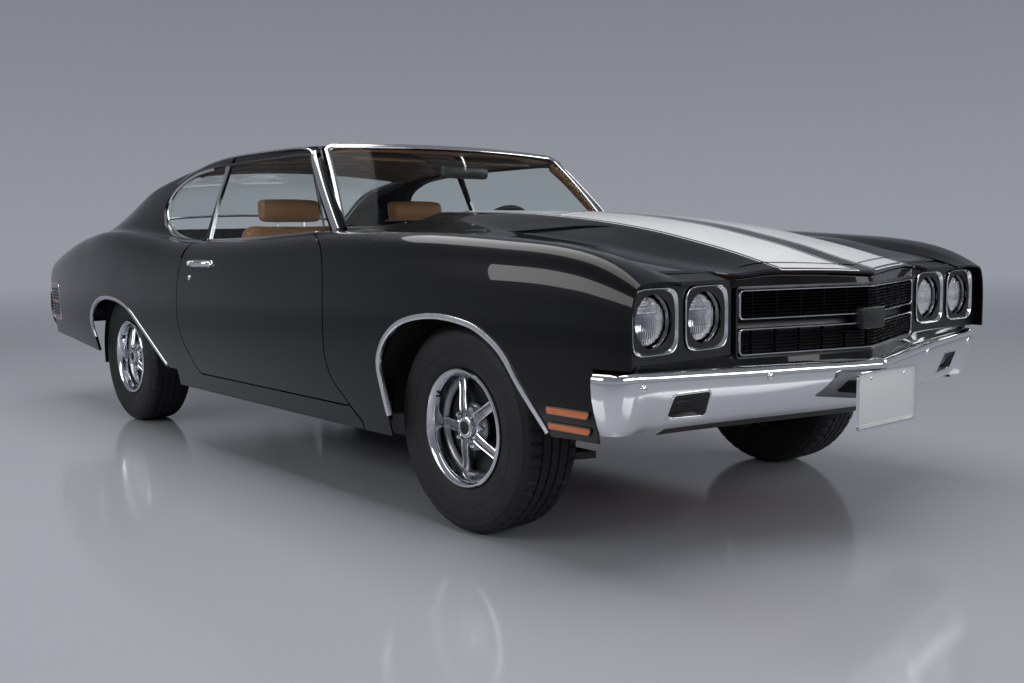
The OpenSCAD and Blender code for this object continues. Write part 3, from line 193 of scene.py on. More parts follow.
def side_out(s, z):
    """The side's outward direction there."""
    a = pt(side_x(s + 4, z), s + 4, z) - pt(side_x(s - 4, z), s - 4, z)
    b = pt(side_x(s, z + 4), s, z + 4) - pt(side_x(s, z - 4), s, z - 4)
    return a.cross(b).normalized()

def inset(line, t):
    out = []
    for i, (x, z) in enumerate(line):
        a, b = line[max(0, i - 1)], line[min(len(line) - 1, i + 1)]
        dx, dz = b[0] - a[0], b[1] - a[1]
        n = math.hypot(dx, dz)
        out.append((x - dz / n * t, z + dx / n * t))
    return out
print("door skin stands", round(side_x(1300, 600)), "mm from the middle")

# %% [markdown]
# ## The studio
# A plain pale floor, a plain pale surround and soft lamps. The camera stands
# where a person's eye would be, low and well off the car's right front corner.
# Its place came from lines on the body whose real sizes are known.

# %% Camera
def look_along(yaw, pitch, roll):
    ahead = Vector((math.sin(yaw) * math.cos(pitch), math.cos(yaw) * math.cos(pitch), math.sin(pitch)))
    right = ahead.cross(Vector((0, 0, 1))).normalized()
    up = right.cross(ahead)
    r = right * math.cos(roll) + up * math.sin(roll)
    u = up * math.cos(roll) - right * math.sin(roll)
    return Matrix((r, u, -ahead)).transposed()

scene = bpy.context.scene
eye = bpy.data.cameras.new("eye")
eye.sensor_width = 36
eye.lens = 36 * 1040.95 / 1024
eye.clip_end = 80
camera = bpy.data.objects.new("camera", eye)
camera.matrix_world = (Matrix.Translation(pt(-2782.65, -2552.59, 919.02))
                       @ look_along(0.6966, -0.0991, -0.0135).to_4x4())
scene.collection.objects.link(camera)
scene.camera = camera
scene.view_settings.view_transform = "Standard"
print("lens", round(eye.lens, 1), "mm")

# %% [markdown]
# The surround is a world shader. Lamps light the car; the pale surround itself
# is what the camera and the reflections see, so gloss paint and chrome have
# something calm to mirror.

# %% World
world = bpy.data.worlds.new("pale_room")
scene.world = world
world.use_nodes = True
wn = world.node_tree
wn.nodes.clear()
def world_node(kind, **values):
    n = wn.nodes.new(kind)
    for k, v in values.items():
        setattr(n, k, v)
    return n
where = world_node("ShaderNodeTexCoord")
split = world_node("ShaderNodeSeparateXYZ")
wn.links.new(where.outputs["Generated"], split.inputs[0])
lift = world_node("ShaderNodeValToRGB")
lift.color_ramp.elements[0].position = 0.0
lift.color_ramp.elements[0].color = (0.300, 0.315, 0.355, 1)
lift.color_ramp.elements[1].position = 0.34
lift.color_ramp.elements[1].color = (0.170, 0.180, 0.205, 1)
top = lift.color_ramp.elements.new(1.0)
top.color = (0.19, 0.20, 0.22, 1)
wn.links.new(split.outputs[2], lift.inputs[0])
seen = world_node("ShaderNodeBackground")
wn.links.new(lift.outputs[0], seen.inputs[0])
seen.inputs[1].default_value = 1.0
lit = world_node("ShaderNodeBackground")
lit.inputs[0].default_value = (0.78, 0.80, 0.84, 1)
lit.inputs[1].default_value = 0.30
ray = world_node("ShaderNodeLightPath")
either = world_node("ShaderNodeMath", operation="MAXIMUM")
any_of = world_node("ShaderNodeMath", operation="MAXIMUM")
wn.links.new(ray.outputs["Is Camera Ray"], either.inputs[0])
wn.links.new(ray.outputs["Is Glossy Ray"], either.inputs[1])
wn.links.new(either.outputs[0], any_of.inputs[0])
wn.links.new(ray.outputs["Is Transmission Ray"], any_of.inputs[1])
blend = world_node("ShaderNodeMixShader")
wn.links.new(any_of.outputs[0], blend.inputs[0])
wn.links.new(lit.outputs[0], blend.inputs[1])
wn.links.new(seen.outputs[0], blend.inputs[2])
out = world_node("ShaderNodeOutputWorld")
wn.links.new(blend.outputs[0], out.inputs[0])

# %% Soft lamps
def softbox(name, place, aim, size, watts, color=(1, 1, 1)):
    lamp = bpy.data.lights.new(name, "AREA")
    lamp.shape = "RECTANGLE"
    lamp.size, lamp.size_y = size
    lamp.energy = watts
    lamp.color = color
    ob = bpy.data.objects.new(name, lamp)
    ob.location = place
    ob.rotation_euler = (Vector(aim) - Vector(place)).to_track_quat("-Z", "Y").to_euler()
    scene.collection.objects.link(ob)
    return ob

softbox("overhead", (-0.6, -0.4, 4.2), (-0.6, -0.4, 0), (3.0, 7.5), 190)
softbox("right_side", (-5.6, 0.6, 2.9), (0, 0.3, 0.6), (6.5, 1.5), 130)
softbox("front_fill", (0.8, -7.2, 2.6), (0, -1.5, 0.5), (4.5, 1.6), 95)
softbox("left_side", (5.4, -3.4, 2.9), (0, -0.4, 0.6), (3.2, 1.4), 60)

# %% Floor
def floor_material():
    m = bpy.data.materials.new("studio_floor")
    m.use_nodes = True
    b = m.node_tree.nodes["Principled BSDF"]
    b.inputs["Base Color"].default_value = (0.375, 0.385, 0.42, 1)
    b.inputs["Roughness"].default_value = 0.12
    b.inputs["Specular IOR Level"].default_value = 0.5
    t = m.node_tree
    spot = t.nodes.new("ShaderNodeTexCoord")
    far = t.nodes.new("ShaderNodeVectorMath")
    far.operation = "LENGTH"
    fade = t.nodes.new("ShaderNodeMapRange")
    fade.inputs["From Min"].default_value = 6.0
    fade.inputs["From Max"].default_value = 22.0
    fade.interpolation_type = "SMOOTHSTEP"
    clear_bit = t.nodes.new("ShaderNodeBsdfTransparent")
    mixed = t.nodes.new("ShaderNodeMixShader")
    t.links.new(spot.outputs["Object"], far.inputs[0])
    t.links.new(far.outputs["Value"], fade.inputs["Value"])
    t.links.new(fade.outputs["Result"], mixed.inputs[0])
    t.links.new(b.outputs[0], mixed.inputs[1])
    t.links.new(clear_bit.outputs[0], mixed.inputs[2])
    t.links.new(mixed.outputs[0], t.nodes["Material Output"].inputs[0])
    return m
half = 30
ground = bpy.data.meshes.new("floor")
ground.from_pydata([(-half, -half, 0), (half, -half, 0), (half, half, 0), (-half, half, 0)],
                   [], [(0, 1, 2, 3)])
floor = bpy.data.objects.new("floor", ground)
ground.materials.append(floor_material())
scene.collection.objects.link(floor)

# %% [markdown]
# ## Finishes
# A finish is a Principled shader with its own plain numbers, plus small effects
# that vary over the surface. Effects used by several finishes are node groups:
# a fine grain, a leather grain with creases, a cloudy film of dust and
# polishing marks, and the paint's stripes.

# %% A helper for node groups
def group(name, inputs, outputs):
    """An empty shader node group with named sockets."""
    g = bpy.data.node_groups.new(name, "ShaderNodeTree")
    for label, kind, value in inputs:
        socket = g.interface.new_socket(label, in_out="INPUT", socket_type=kind)
        if value is not None:
            socket.default_value = value
    for label, kind in outputs:
        g.interface.new_socket(label, in_out="OUTPUT", socket_type=kind)
    return g, g.nodes.new("NodeGroupInput"), g.nodes.new("NodeGroupOutput")

def add(tree, kind, links=(), **values):
    """A node with its settings, and links into its inputs by index or name."""
    n = tree.nodes.new(kind)
    for k, v in values.items():
        if k.startswith("in_"):
            key = k[3:]
            n.inputs[int(key) if key.isdigit() else key].default_value = v
        else:
            setattr(n, k, v)
    for source, target in links:
        tree.links.new(source, n.inputs[target])
    return n

# %% Cloudy film
film, fi, fo = group("cloudy_film",
    [("Scale", "NodeSocketFloat", 6.0), ("Low", "NodeSocketFloat", 0.03), ("High", "NodeSocketFloat", 0.09)],
    [("Value", "NodeSocketFloat")])
spot = add(film, "ShaderNodeTexCoord")
cloud = add(film, "ShaderNodeTexNoise", [(spot.outputs["Object"], "Vector"), (fi.outputs["Scale"], "Scale")],
            in_Detail=6.0, in_Roughness=0.6)
span = add(film, "ShaderNodeMapRange", [(cloud.outputs[0], 0), (fi.outputs["Low"], 3), (fi.outputs["High"], 4)],
           in_1=0.3, in_2=0.7)
film.links.new(span.outputs[0], fo.inputs[0])

# %% Fine grain
grain, gi, go = group("fine_grain",
    [("Scale", "NodeSocketFloat", 900.0)], [("Height", "NodeSocketFloat")])
spot = add(grain, "ShaderNodeTexCoord")
pit = add(grain, "ShaderNodeTexNoise", [(spot.outputs["Object"], "Vector"), (gi.outputs["Scale"], "Scale")],
          in_Detail=3.0)
grain.links.new(pit.outputs[0], go.inputs[0])

# %% Leather grain
hide, hi, ho = group("hide_grain",
    [("Scale", "NodeSocketFloat", 420.0)],
    [("Height", "NodeSocketFloat"), ("Creases", "NodeSocketFloat"), ("Mottle", "NodeSocketFloat")])
spot = add(hide, "ShaderNodeTexCoord")
cell = add(hide, "ShaderNodeTexVoronoi", [(spot.outputs["Object"], "Vector"), (hi.outputs["Scale"], "Scale")],
           feature="DISTANCE_TO_EDGE")
edge = add(hide, "ShaderNodeMapRange", [(cell.outputs["Distance"], 0)], in_1=0.0, in_2=0.12)
crease = add(hide, "ShaderNodeTexNoise", [(spot.outputs["Object"], "Vector")], in_Scale=26.0,
             in_Detail=5.0, in_Distortion=1.4)
folds = add(hide, "ShaderNodeMapRange", [(crease.outputs[0], 0)], in_1=0.42, in_2=0.6)
both = add(hide, "ShaderNodeMath", [(edge.outputs[0], 0), (folds.outputs[0], 1)], operation="MULTIPLY_ADD",
           in_2=0.0)
hide.links.new(both.outputs[0], ho.inputs[0])
hide.links.new(folds.outputs[0], ho.inputs[1])
mott = add(hide, "ShaderNodeTexNoise", [(spot.outputs["Object"], "Vector")], in_Scale=9.0, in_Detail=4.0)
hide.links.new(mott.outputs[0], ho.inputs[2])

# %% [markdown]
# The stripes are paint too, so they are a mask over the surface rather than
# pieces: two broad bands with a thin line round each. The mask is worked out
# from the place on the car, with the band's front end slanting as the hood does.

# %% Stripe mask
stripes, si, so = group("stripe_bands",
    [("Front", "NodeSocketFloat", -0.868), ("Slant", "NodeSocketFloat", 0.255), ("Rear", "NodeSocketFloat", 0.85),
     ("Flare", "NodeSocketFloat", 0.0)],
    [("Band", "NodeSocketFloat")])
def inside(value, low, high):
    """How far value lies between low and high: its distance to the nearer one, below 0 outside."""
    a = add(stripes, "ShaderNodeMath", [(value, 0), (low, 1)], operation="SUBTRACT")
    b = add(stripes, "ShaderNodeMath", [(high, 0), (value, 1)], operation="SUBTRACT")
    least = add(stripes, "ShaderNodeMath", [(a.outputs[0], 0), (b.outputs[0], 1)], operation="MINIMUM")
    return least.outputs[0]
def number(v):
    n = add(stripes, "ShaderNodeValue")
    n.outputs[0].default_value = v
    return n.outputs[0]
def sharp(value, edge, width=0.0006):
    return add(stripes, "ShaderNodeMapRange", [(value, 0)], in_1=edge, in_2=edge + width).outputs[0]
spot = add(stripes, "ShaderNodeTexCoord")
parts = add(stripes, "ShaderNodeSeparateXYZ", [(spot.outputs["Object"], 0)])
off = add(stripes, "ShaderNodeMath", [(parts.outputs[0], 0)], operation="ABSOLUTE").outputs[0]
back = add(stripes, "ShaderNodeMath", [(parts.outputs[1], 0)], operation="ADD", in_1=AXLE / 1000).outputs[0]
start = add(stripes, "ShaderNodeMath", [(off, 0), (si.outputs["Slant"], 1), (si.outputs["Front"], 2)],
            operation="MULTIPLY_ADD").outputs[0]
wide = add(stripes, "ShaderNodeMath", [(back, 0), (si.outputs["Flare"], 1)], operation="MULTIPLY_ADD",
           in_2=0.326).outputs[0]
across = inside(off, number(0.042), wide)
along = inside(back, start, si.outputs["Rear"])
depth = add(stripes, "ShaderNodeMath", [(across, 0), (along, 1)], operation="MINIMUM").outputs[0]
body_of_band = sharp(depth, 0.016)
outer_line = sharp(depth, 0.0)
inner_line = sharp(depth, 0.0045)
line = add(stripes, "ShaderNodeMath", [(outer_line, 0), (inner_line, 1)], operation="SUBTRACT").outputs[0]
mask = add(stripes, "ShaderNodeMath", [(body_of_band, 0), (line, 1)], operation="MAXIMUM", use_clamp=True)
stripes.links.new(mask.outputs[0], so.inputs[0])
print("effects:", [g.name for g in bpy.data.node_groups])

# %% A helper for finishes
def finish(name, color, rough, metal=0.0, **sockets):
    m = bpy.data.materials.new(name)
    m.use_nodes = True
    b = m.node_tree.nodes["Principled BSDF"]
    b.inputs["Base Color"].default_value = (*color, 1)
    b.inputs["Roughness"].default_value = rough
    b.inputs["Metallic"].default_value = metal
    for k, v in sockets.items():
        b.inputs[k.replace("_", " ")].default_value = v
    return m

def shader(m):
    return m.node_tree.nodes["Principled BSDF"]

def use(m, g, **values):
    n = m.node_tree.nodes.new("ShaderNodeGroup")
    n.node_tree = g
    for k, v in values.items():
        n.inputs[k].default_value = v
    return n

def film_on(m, low, high, scale=6.0):
    n = use(m, film, Low=low, High=high, Scale=scale)
    m.node_tree.links.new(n.outputs[0], shader(m).inputs["Roughness"])
    return m

def bump_on(m, source, strength, distance):
    b = add(m.node_tree, "ShaderNodeBump", [(source, "Height")], in_Strength=strength, in_Distance=distance)
    m.node_tree.links.new(b.outputs[0], shader(m).inputs["Normal"])
    return m

def grain_on(m, scale=900.0, strength=0.25, distance=0.0004):
    return bump_on(m, use(m, grain, Scale=scale).outputs[0], strength, distance)

def mix_on(m, mask, a, b, socket="Base Color"):
    """Mixes two colours by a mask and feeds a socket."""
    n = add(m.node_tree, "ShaderNodeMix", [(mask, 0)], data_type="RGBA")
    n.inputs[6].default_value = (*a, 1)
    n.inputs[7].default_value = (*b, 1)
    m.node_tree.links.new(n.outputs[2], shader(m).inputs[socket])
    return n

# %% Paint
BLACK, WHITE = (0.0035, 0.0035, 0.0045), (0.80, 0.80, 0.81)
def paint_finish(name, **band):
    m = finish(name, BLACK, 0.25, Coat_Weight=1.0, Coat_Roughness=0.015, Coat_IOR=1.31, Specular_IOR_Level=0.05)
    film_on(m, 0.22, 0.32, 3.0)
    if band:
        n = use(m, stripes, **band)
        mix_on(m, n.outputs[0], BLACK, WHITE)
    return m
paint = paint_finish("black_paint")
hood_paint = paint_finish("striped_hood_paint", Front=-0.880, Slant=0.255, Rear=0.90, Flare=0.0)
lid_paint = paint_finish("striped_lid_paint", Front=3.222, Slant=0.0, Rear=3.985, Flare=0.0)

# %% Metals
chrome = film_on(finish("bright_chrome", (0.80, 0.81, 0.83), 0.04, 1.0), 0.025, 0.075, 5.0)
bright = film_on(finish("polished_trim", (0.74, 0.75, 0.77), 0.12, 1.0), 0.09, 0.2, 12.0)
rim_metal = film_on(finish("rim_chrome", (0.74, 0.76, 0.80), 0.08, 1.0), 0.05, 0.14, 9.0)
spoke_metal = film_on(finish("spoke_metal", (0.30, 0.31, 0.33), 0.3, 1.0), 0.22, 0.38, 30.0)
wheel_black = grain_on(film_on(finish("wheel_black", (0.008, 0.008, 0.009), 0.45), 0.4, 0.6, 30.0), 700.0, 0.15)
cast_iron = grain_on(film_on(finish("cast_iron", (0.055, 0.052, 0.05), 0.6, 0.55), 0.5, 0.75, 18.0), 350.0, 0.5, 0.001)
frame_black = grain_on(film_on(finish("frame_enamel", (0.012, 0.012, 0.013), 0.4), 0.32, 0.6, 8.0), 240.0, 0.2, 0.0008)
steel_pipe = grain_on(film_on(finish("exhaust_steel", (0.38, 0.36, 0.34), 0.4, 0.9), 0.3, 0.55, 14.0), 500.0, 0.2)
tank_steel = grain_on(film_on(finish("galvanised_tank", (0.42, 0.43, 0.44), 0.45, 0.85), 0.35, 0.6, 22.0), 300.0, 0.25)
engine_orange = grain_on(film_on(finish("engine_enamel", (0.72, 0.16, 0.035), 0.4), 0.3, 0.5, 12.0), 300.0, 0.3, 0.0006)

# %% Rubber and plastics
rubber = finish("tyre_rubber", (0.014, 0.014, 0.015), 0.62, Specular_IOR_Level=0.35)
grain_on(film_on(rubber, 0.52, 0.74, 7.0), 800.0, 0.3, 0.0004)
seal_rubber = grain_on(film_on(finish("seal_rubber", (0.01, 0.01, 0.01), 0.6), 0.5, 0.7, 20.0), 900.0, 0.3)
satin_black = grain_on(film_on(finish("satin_black", (0.006, 0.006, 0.007), 0.35), 0.28, 0.42, 20.0), 1100.0, 0.12)
inner_black = grain_on(film_on(finish("underbody_black", (0.010, 0.010, 0.011), 0.7), 0.6, 0.85, 6.0), 200.0, 0.4, 0.001)
lamp_black = film_on(finish("lamp_pocket_black", (0.004, 0.004, 0.004), 0.5), 0.4, 0.6, 30.0)

# %% Interior
TAN = (0.40, 0.185, 0.072)
def hide_finish(name, color, scale=420.0, strength=0.35):
    m = finish(name, color, 0.45, Specular_IOR_Level=0.4, Sheen_Weight=0.06, Sheen_Roughness=0.4)
    n = use(m, hide, Scale=scale)
    dark = tuple(c * 0.72 for c in color)
    light = tuple(min(1, c * 1.16) for c in color)
    mix_on(m, n.outputs["Mottle"], dark, light)
    bump_on(m, n.outputs["Height"], strength, 0.0007)
    return film_on(m, 0.36, 0.56, 14.0)
leather = hide_finish("saddle_hide", TAN)
seam_thread = hide_finish("seam_thread", (0.17, 0.075, 0.03), 1500.0, 0.6)
tan_trim = hide_finish("tan_moulding", (0.36, 0.165, 0.066), 700.0, 0.2)
headliner = hide_finish("headlining", (0.125, 0.066, 0.034), 900.0, 0.5)
carpet = grain_on(finish("saddle_carpet", (0.15, 0.072, 0.032), 0.95, Sheen_Weight=0.3), 520.0, 1.0, 0.003)
dial_black = film_on(finish("dial_black", (0.01, 0.01, 0.01), 0.3), 0.2, 0.4, 40.0)

# %% Lamps and glass
def glass_finish(name, color, rough, ior=1.45):
    return finish(name, color, rough, Transmission_Weight=1.0, IOR=ior)
clear = glass_finish("clear_pane", (0.90, 0.945, 0.93), 0.0, 1.12)
lens_glass = glass_finish("lamp_lens", (0.80, 0.83, 0.86), 0.02, 1.35)
smoke_lens = glass_finish("park_lamp_lens", (0.30, 0.30, 0.31), 0.08, 1.4)
flute = use(lens_glass, grain, Scale=150.0)
bump_on(lens_glass, flute.outputs[0], 0.35, 0.0012)
amber = finish("amber_lens", (0.62, 0.15, 0.02), 0.14, Coat_Weight=0.6, Coat_Roughness=0.05)
grain_on(film_on(amber, 0.1, 0.22, 40.0), 260.0, 0.5, 0.0012)
red = finish("red_lens", (0.34, 0.008, 0.010), 0.12, Coat_Weight=0.8, Coat_Roughness=0.04)
grain_on(film_on(red, 0.08, 0.2, 40.0), 260.0, 0.5, 0.0012)
mirror_glass = film_on(finish("mirror_silver", (0.82, 0.84, 0.85), 0.02, 1.0), 0.01, 0.04, 20.0)
reflector = film_on(finish("lamp_reflector", (0.34, 0.35, 0.37), 0.14, 1.0), 0.05, 0.12, 25.0)
plate_white = grain_on(film_on(finish("blank_plate", (0.62, 0.63, 0.64), 0.35), 0.28, 0.45, 15.0), 500.0, 0.1)
print("finishes:", len(bpy.data.materials))

# %% [markdown]
# ## Tools for sheet metal
# Three operations build nearly every panel. A *grid* of points becomes a
# surface. Two grids and the strip round their edges become a closed sheet. A
# prism cut from the side gives the wheel openings and window openings. Cutting
# leaves odd faces behind, so the shading is borrowed back from the uncut
# surface: the panel then mirrors the room as one clean sweep.

# %% Making and joining meshes
def make(name, verts, faces, mat=None, smooth=True):
    me = bpy.data.meshes.new(name)
    me.from_pydata([tuple(v) for v in verts], [], faces)
    me.validate()
    if smooth:
        me.polygons.foreach_set("use_smooth", [True] * len(me.polygons))
    ob = bpy.data.objects.new(name, me)
    if mat:
        me.materials.append(mat)
    scene.collection.objects.link(ob)
    return ob

def grid_faces(rows, cols, start=0, wrap=False):
    out = []
    for i in range(rows - 1):
        for j in range(cols if wrap else cols - 1):
            k = (j + 1) % cols
            out.append((start + i * cols + j, start + i * cols + k,
                        start + (i + 1) * cols + k, start + (i + 1) * cols + j))
    return out

def tidy(ob, merge=1e-5):
    """Outward normals and no doubled points."""
    bm = bmesh.new()
    bm.from_mesh(ob.data)
    if merge:
        bmesh.ops.remove_doubles(bm, verts=bm.verts, dist=merge)
    bmesh.ops.recalc_face_normals(bm, faces=bm.faces)
    bm.to_mesh(ob.data)
    bm.free()
    return ob

def sheet(name, outer, inner, mat):
    """A closed sheet between two equal grids of points."""
    r, c = len(outer), len(outer[0])
    verts = [p for row in outer for p in row] + [p for row in inner for p in row]
    n = r * c
    faces = grid_faces(r, c) + [tuple(reversed(f)) for f in grid_faces(r, c, n)]
    rim = ([j for j in range(c)] + [i * c + c - 1 for i in range(1, r)]
           + [(r - 1) * c + j for j in range(c - 2, -1, -1)] + [i * c for i in range(r - 2, 0, -1)])
    for a, b in zip(rim, rim[1:] + rim[:1]):
        faces.append((a, b, b + n, a + n))
    return tidy(make(name, verts, faces, mat), 0)

def skin(name, grid, mat=None, wrap=False):
    """An open surface through a grid of points."""
    return make(name, [p for row in grid for p in row], grid_faces(len(grid), len(grid[0]), 0, wrap), mat)

def baked(ob):
    """Applies the modifiers to the mesh."""
    graph = bpy.context.evaluated_depsgraph_get()
    me = bpy.data.meshes.new_from_object(ob.evaluated_get(graph))
    old = ob.data
    ob.modifiers.clear()
    ob.data = me
    bpy.data.meshes.remove(old)
    return ob

def cut(ob, *tools, operation="DIFFERENCE"):
    for t in tools:
        m = ob.modifiers.new("cut", "BOOLEAN")
        m.operation, m.object, m.solver = operation, t, "EXACT"
    baked(ob)
    for t in tools:
        bpy.data.objects.remove(t)
    return ob

# %% Outlines and prisms
def rounded(outline, r, steps=6, closed=True):
    """An outline with its corners turned into arcs of about radius r."""
    pts = [Vector(p) for p in outline]
    out = []
    n = len(pts)
    for i in range(n):
        p, a, b = pts[i], pts[i - 1], pts[(i + 1) % n]
        if not closed and i in (0, n - 1):
            out.append(tuple(p))
            continue
        da, db = (a - p), (b - p)
        k = min(r, da.length * 0.45, db.length * 0.45)
        p0, p1 = p + da.normalized() * k, p + db.normalized() * k
        for q in range(steps + 1):
            t = q / steps
            out.append(tuple(p0 * (1 - t) ** 2 + p * 2 * t * (1 - t) + p1 * t * t))
    return out

def grown(outline, d):
    """The closed outline moved outwards by d (inwards if negative)."""
    area = sum(a[0] * b[1] - b[0] * a[1] for a, b in zip(outline, outline[1:] + outline[:1]))
    sign = 1 if area > 0 else -1
    out = []
    n = len(outline)
    for i in range(n):
        p, a, b = (Vector(outline[k % n]) for k in (i, i - 1, i + 1))
        e1, e2 = (p - a).normalized(), (b - p).normalized()
        n1, n2 = Vector((e1.y, -e1.x)), Vector((e2.y, -e2.x))
        m = (n1 + n2) / max(0.3, 1 + n1.dot(n2))
        out.append(tuple(p + m * d * sign))
    return out

def prism(outline, x0, x1):
    """A solid across the car with its outline drawn in [station, height]."""
    n = len(outline)
    verts = [pt(x0, s, z) for s, z in outline] + [pt(x1, s, z) for s, z in outline]
    faces = [tuple(range(n)), tuple(range(2 * n - 1, n - 1, -1))]
    faces += [(i, (i + 1) % n, (i + 1) % n + n, i + n) for i in range(n)]
    return tidy(make("prism", verts, faces, smooth=False), 0)

def smooth_path(points, n, closed=False):
    """n points along a soft curve through the given ones."""
    p = [Vector(q) for q in points]
    m = len(p)
    fine = []
    segs = m if closed else m - 1
    for i in range(segs):
        get = (lambda k: p[k % m]) if closed else (lambda k: p[max(0, min(m - 1, k))])
        a, b, c, d = get(i - 1), get(i), get(i + 1), get(i + 2)
        for q in range(24):
            t = q / 24
            fine.append(0.5 * ((2 * b) + (c - a) * t + (2 * a - 5 * b + 4 * c - d) * t * t
                               + (3 * b - a - 3 * c + d) * t ** 3))
    fine.append(p[0] if closed else p[-1])
    run = [0.0]
    for a, b in zip(fine, fine[1:]):
        run.append(run[-1] + (b - a).length)
    out = []
    j = 0
    for k in range(n + 1):
        want = run[-1] * k / n
        while j < len(run) - 2 and run[j + 1] < want:
            j += 1
        step = run[j + 1] - run[j]
        out.append(fine[j].lerp(fine[j + 1], (want - run[j]) / step if step else 0))
    return out[:-1] if closed else out

# %% Borrowed shading
def lend_shading(ob, source, flip=False, reach=0.0012):
    """Gives ob the smooth normals of the uncut surface wherever it lies on it."""
    src = source.data
    sx = -1 if flip else 1
    co = [Vector((v.co.x * sx, v.co.y, v.co.z)) for v in src.vertices]
    no = [Vector((v.normal.x * sx, v.normal.y, v.normal.z)) for v in src.vertices]
    polys = [tuple(p.vertices) for p in src.polygons]
    tree = BVHTree.FromPolygons(co, polys)
    me = ob.data
    normals = [None] * len(me.loops)
    for poly in me.polygons:
        hit, _, k, far = tree.find_nearest(poly.center)
        on = hit is not None and far < reach
        if on:
            face = sum((no[v] for v in polys[k]), Vector())
            agree = face.normalized().dot(poly.normal)
            on = abs(agree) > 0.8
            side = 1 if agree > 0 else -1
        for li in poly.loop_indices:
            if not on:
                normals[li] = poly.normal.copy()
                continue
            q = me.vertices[me.loops[li].vertex_index].co
            near, _, k, _ = tree.find_nearest(q)
            w = poly_3d_calc([co[v] for v in polys[k]], near)
            n = sum((no[v] * a for v, a in zip(polys[k], w)), Vector())
            normals[li] = (n * side).normalized()
    me.polygons.foreach_set("use_smooth", [True] * len(me.polygons))
    me.normals_split_custom_set(normals)
    return ob

def mirrored(ob, name):
    """The same piece for the car's other side."""
    me = ob.data.copy()
    me.transform(Matrix.Diagonal((-1, 1, 1, 1)))
    me.flip_normals()
    twin = bpy.data.objects.new(name, me)
    scene.collection.objects.link(twin)
    return twin

def both(ob, source=None):
    """Mirrors a left piece to the right and shades both; returns the pair."""
    twin = mirrored(ob, ob.name.replace("left", "right"))
    if source:
        lend_shading(ob, source)
        lend_shading(twin, source, flip=True)
        bpy.data.objects.remove(source)
    return ob, twin

def place(obs, body="root", slot="body_paint", replaces=()):
    """Lets pieces ride on a body and hides the frame pieces they stand for; slot is not used."""
    obs = obs if isinstance(obs, (list, tuple)) else [obs]
    for o in obs:
        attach(o, body)
    if replaces:
        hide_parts(*replaces)
    return obs

# %% Sweeps, turned parts and bevelled blocks
def sweep(name, path, normals, profile, mat, closed=False, caps=True, scale=None):
    """Carries a profile [(out, across)] in mm along a path of scene points."""
    n = len(path)
    rows = []
    for i, p in enumerate(path):
        a = path[i - 1] if (i or closed) else path[0]
        b = path[(i + 1) % n] if (i < n - 1 or closed) else path[-1]
        t = (b - a).normalized()
        up = normals[i] if isinstance(normals, list) else Vector(normals)
        up = (up - t * up.dot(t)).normalized()
        w = t.cross(up)
        k = scale(i / (n - 1)) if scale else 1
        rows.append([p + (up * u + w * v) * (k / 1000) for u, v in profile])
    if closed:
        rows.append(rows[0])
    ob = skin(name, rows, mat, wrap=True)
    if caps and not closed:
        m = len(profile)
        bm = bmesh.new()
        bm.from_mesh(ob.data)
        bm.verts.ensure_lookup_table()
        bm.faces.new([bm.verts[j] for j in range(m)])
        bm.faces.new([bm.verts[(n - 1) * m + j] for j in range(m)])
        bm.to_mesh(ob.data)
        bm.free()
    tidy(ob, 1e-6)
    return crisp(ob, 40)

def crisp(ob, angle=35):
    """Smooth shading that breaks at edges sharper than the angle."""
    bm = bmesh.new()
    bm.from_mesh(ob.data)
    limit = math.radians(angle)
    for e in bm.edges:
        if len(e.link_faces) == 2 and e.calc_face_angle(0) > limit:
            e.smooth = False
    for f in bm.faces:
        f.smooth = True
    bm.to_mesh(ob.data)
    bm.free()
    return ob

def half_round(w, h, n=8, flat=0.0):
    """A half-round bead w wide and h high, as a sweep profile."""
    return [(flat + h * math.sin(math.pi * k / n), -w / 2 * math.cos(math.pi * k / n)) for k in range(n + 1)]

def round_bar(r, n=10):
    return [(r * math.cos(2 * math.pi * k / n), r * math.sin(2 * math.pi * k / n)) for k in range(n)]

def lathe(name, profile, mat, steps=72, center=(0, 0, 0), axis="X", face=1, angle=30):
    """Turns a profile [(radius, along)] in mm about an axis; closed outline."""
    rows = []
    for k in range(steps):
        a = 2 * math.pi * k / steps
        row = []
        for r, h in profile:
            if axis == "X":
                row.append(Vector((h * face, r * math.cos(a), r * math.sin(a))) / 1000 + Vector(center))
            elif axis == "Y":
                row.append(Vector((r * math.cos(a), h * face, r * math.sin(a))) / 1000 + Vector(center))
            else:
                row.append(Vector((r * math.cos(a), r * math.sin(a), h * face)) / 1000 + Vector(center))
        rows.append(row)
    rows.append(rows[0])
    ob = skin(name, rows, mat)
    return crisp(tidy(ob, 1e-6), angle)

def box(name, x, s, z, mat, bevel=2.0, segs=2):
    """A block between limits in the drawing's numbers with rounded edges."""
    c = [pt(x[i], s[j], z[k]) for i in (0, 1) for j in (0, 1) for k in (0, 1)]
    ob = tidy(make(name, c, [(0, 1, 3, 2), (4, 6, 7, 5), (0, 4, 5, 1), (2, 3, 7, 6), (0, 2, 6, 4), (1, 5, 7, 3)],
                   mat, smooth=False), 0)
    return softened(ob, bevel, segs)

def softened(ob, bevel=1.0, segs=2, angle=30):
    if bevel:
        m = ob.modifiers.new("edge", "BEVEL")
        m.width, m.segments, m.limit_method = bevel / 1000, segs, "ANGLE"
        m.angle_limit = math.radians(angle)
        baked(ob)
    return crisp(ob, 50)

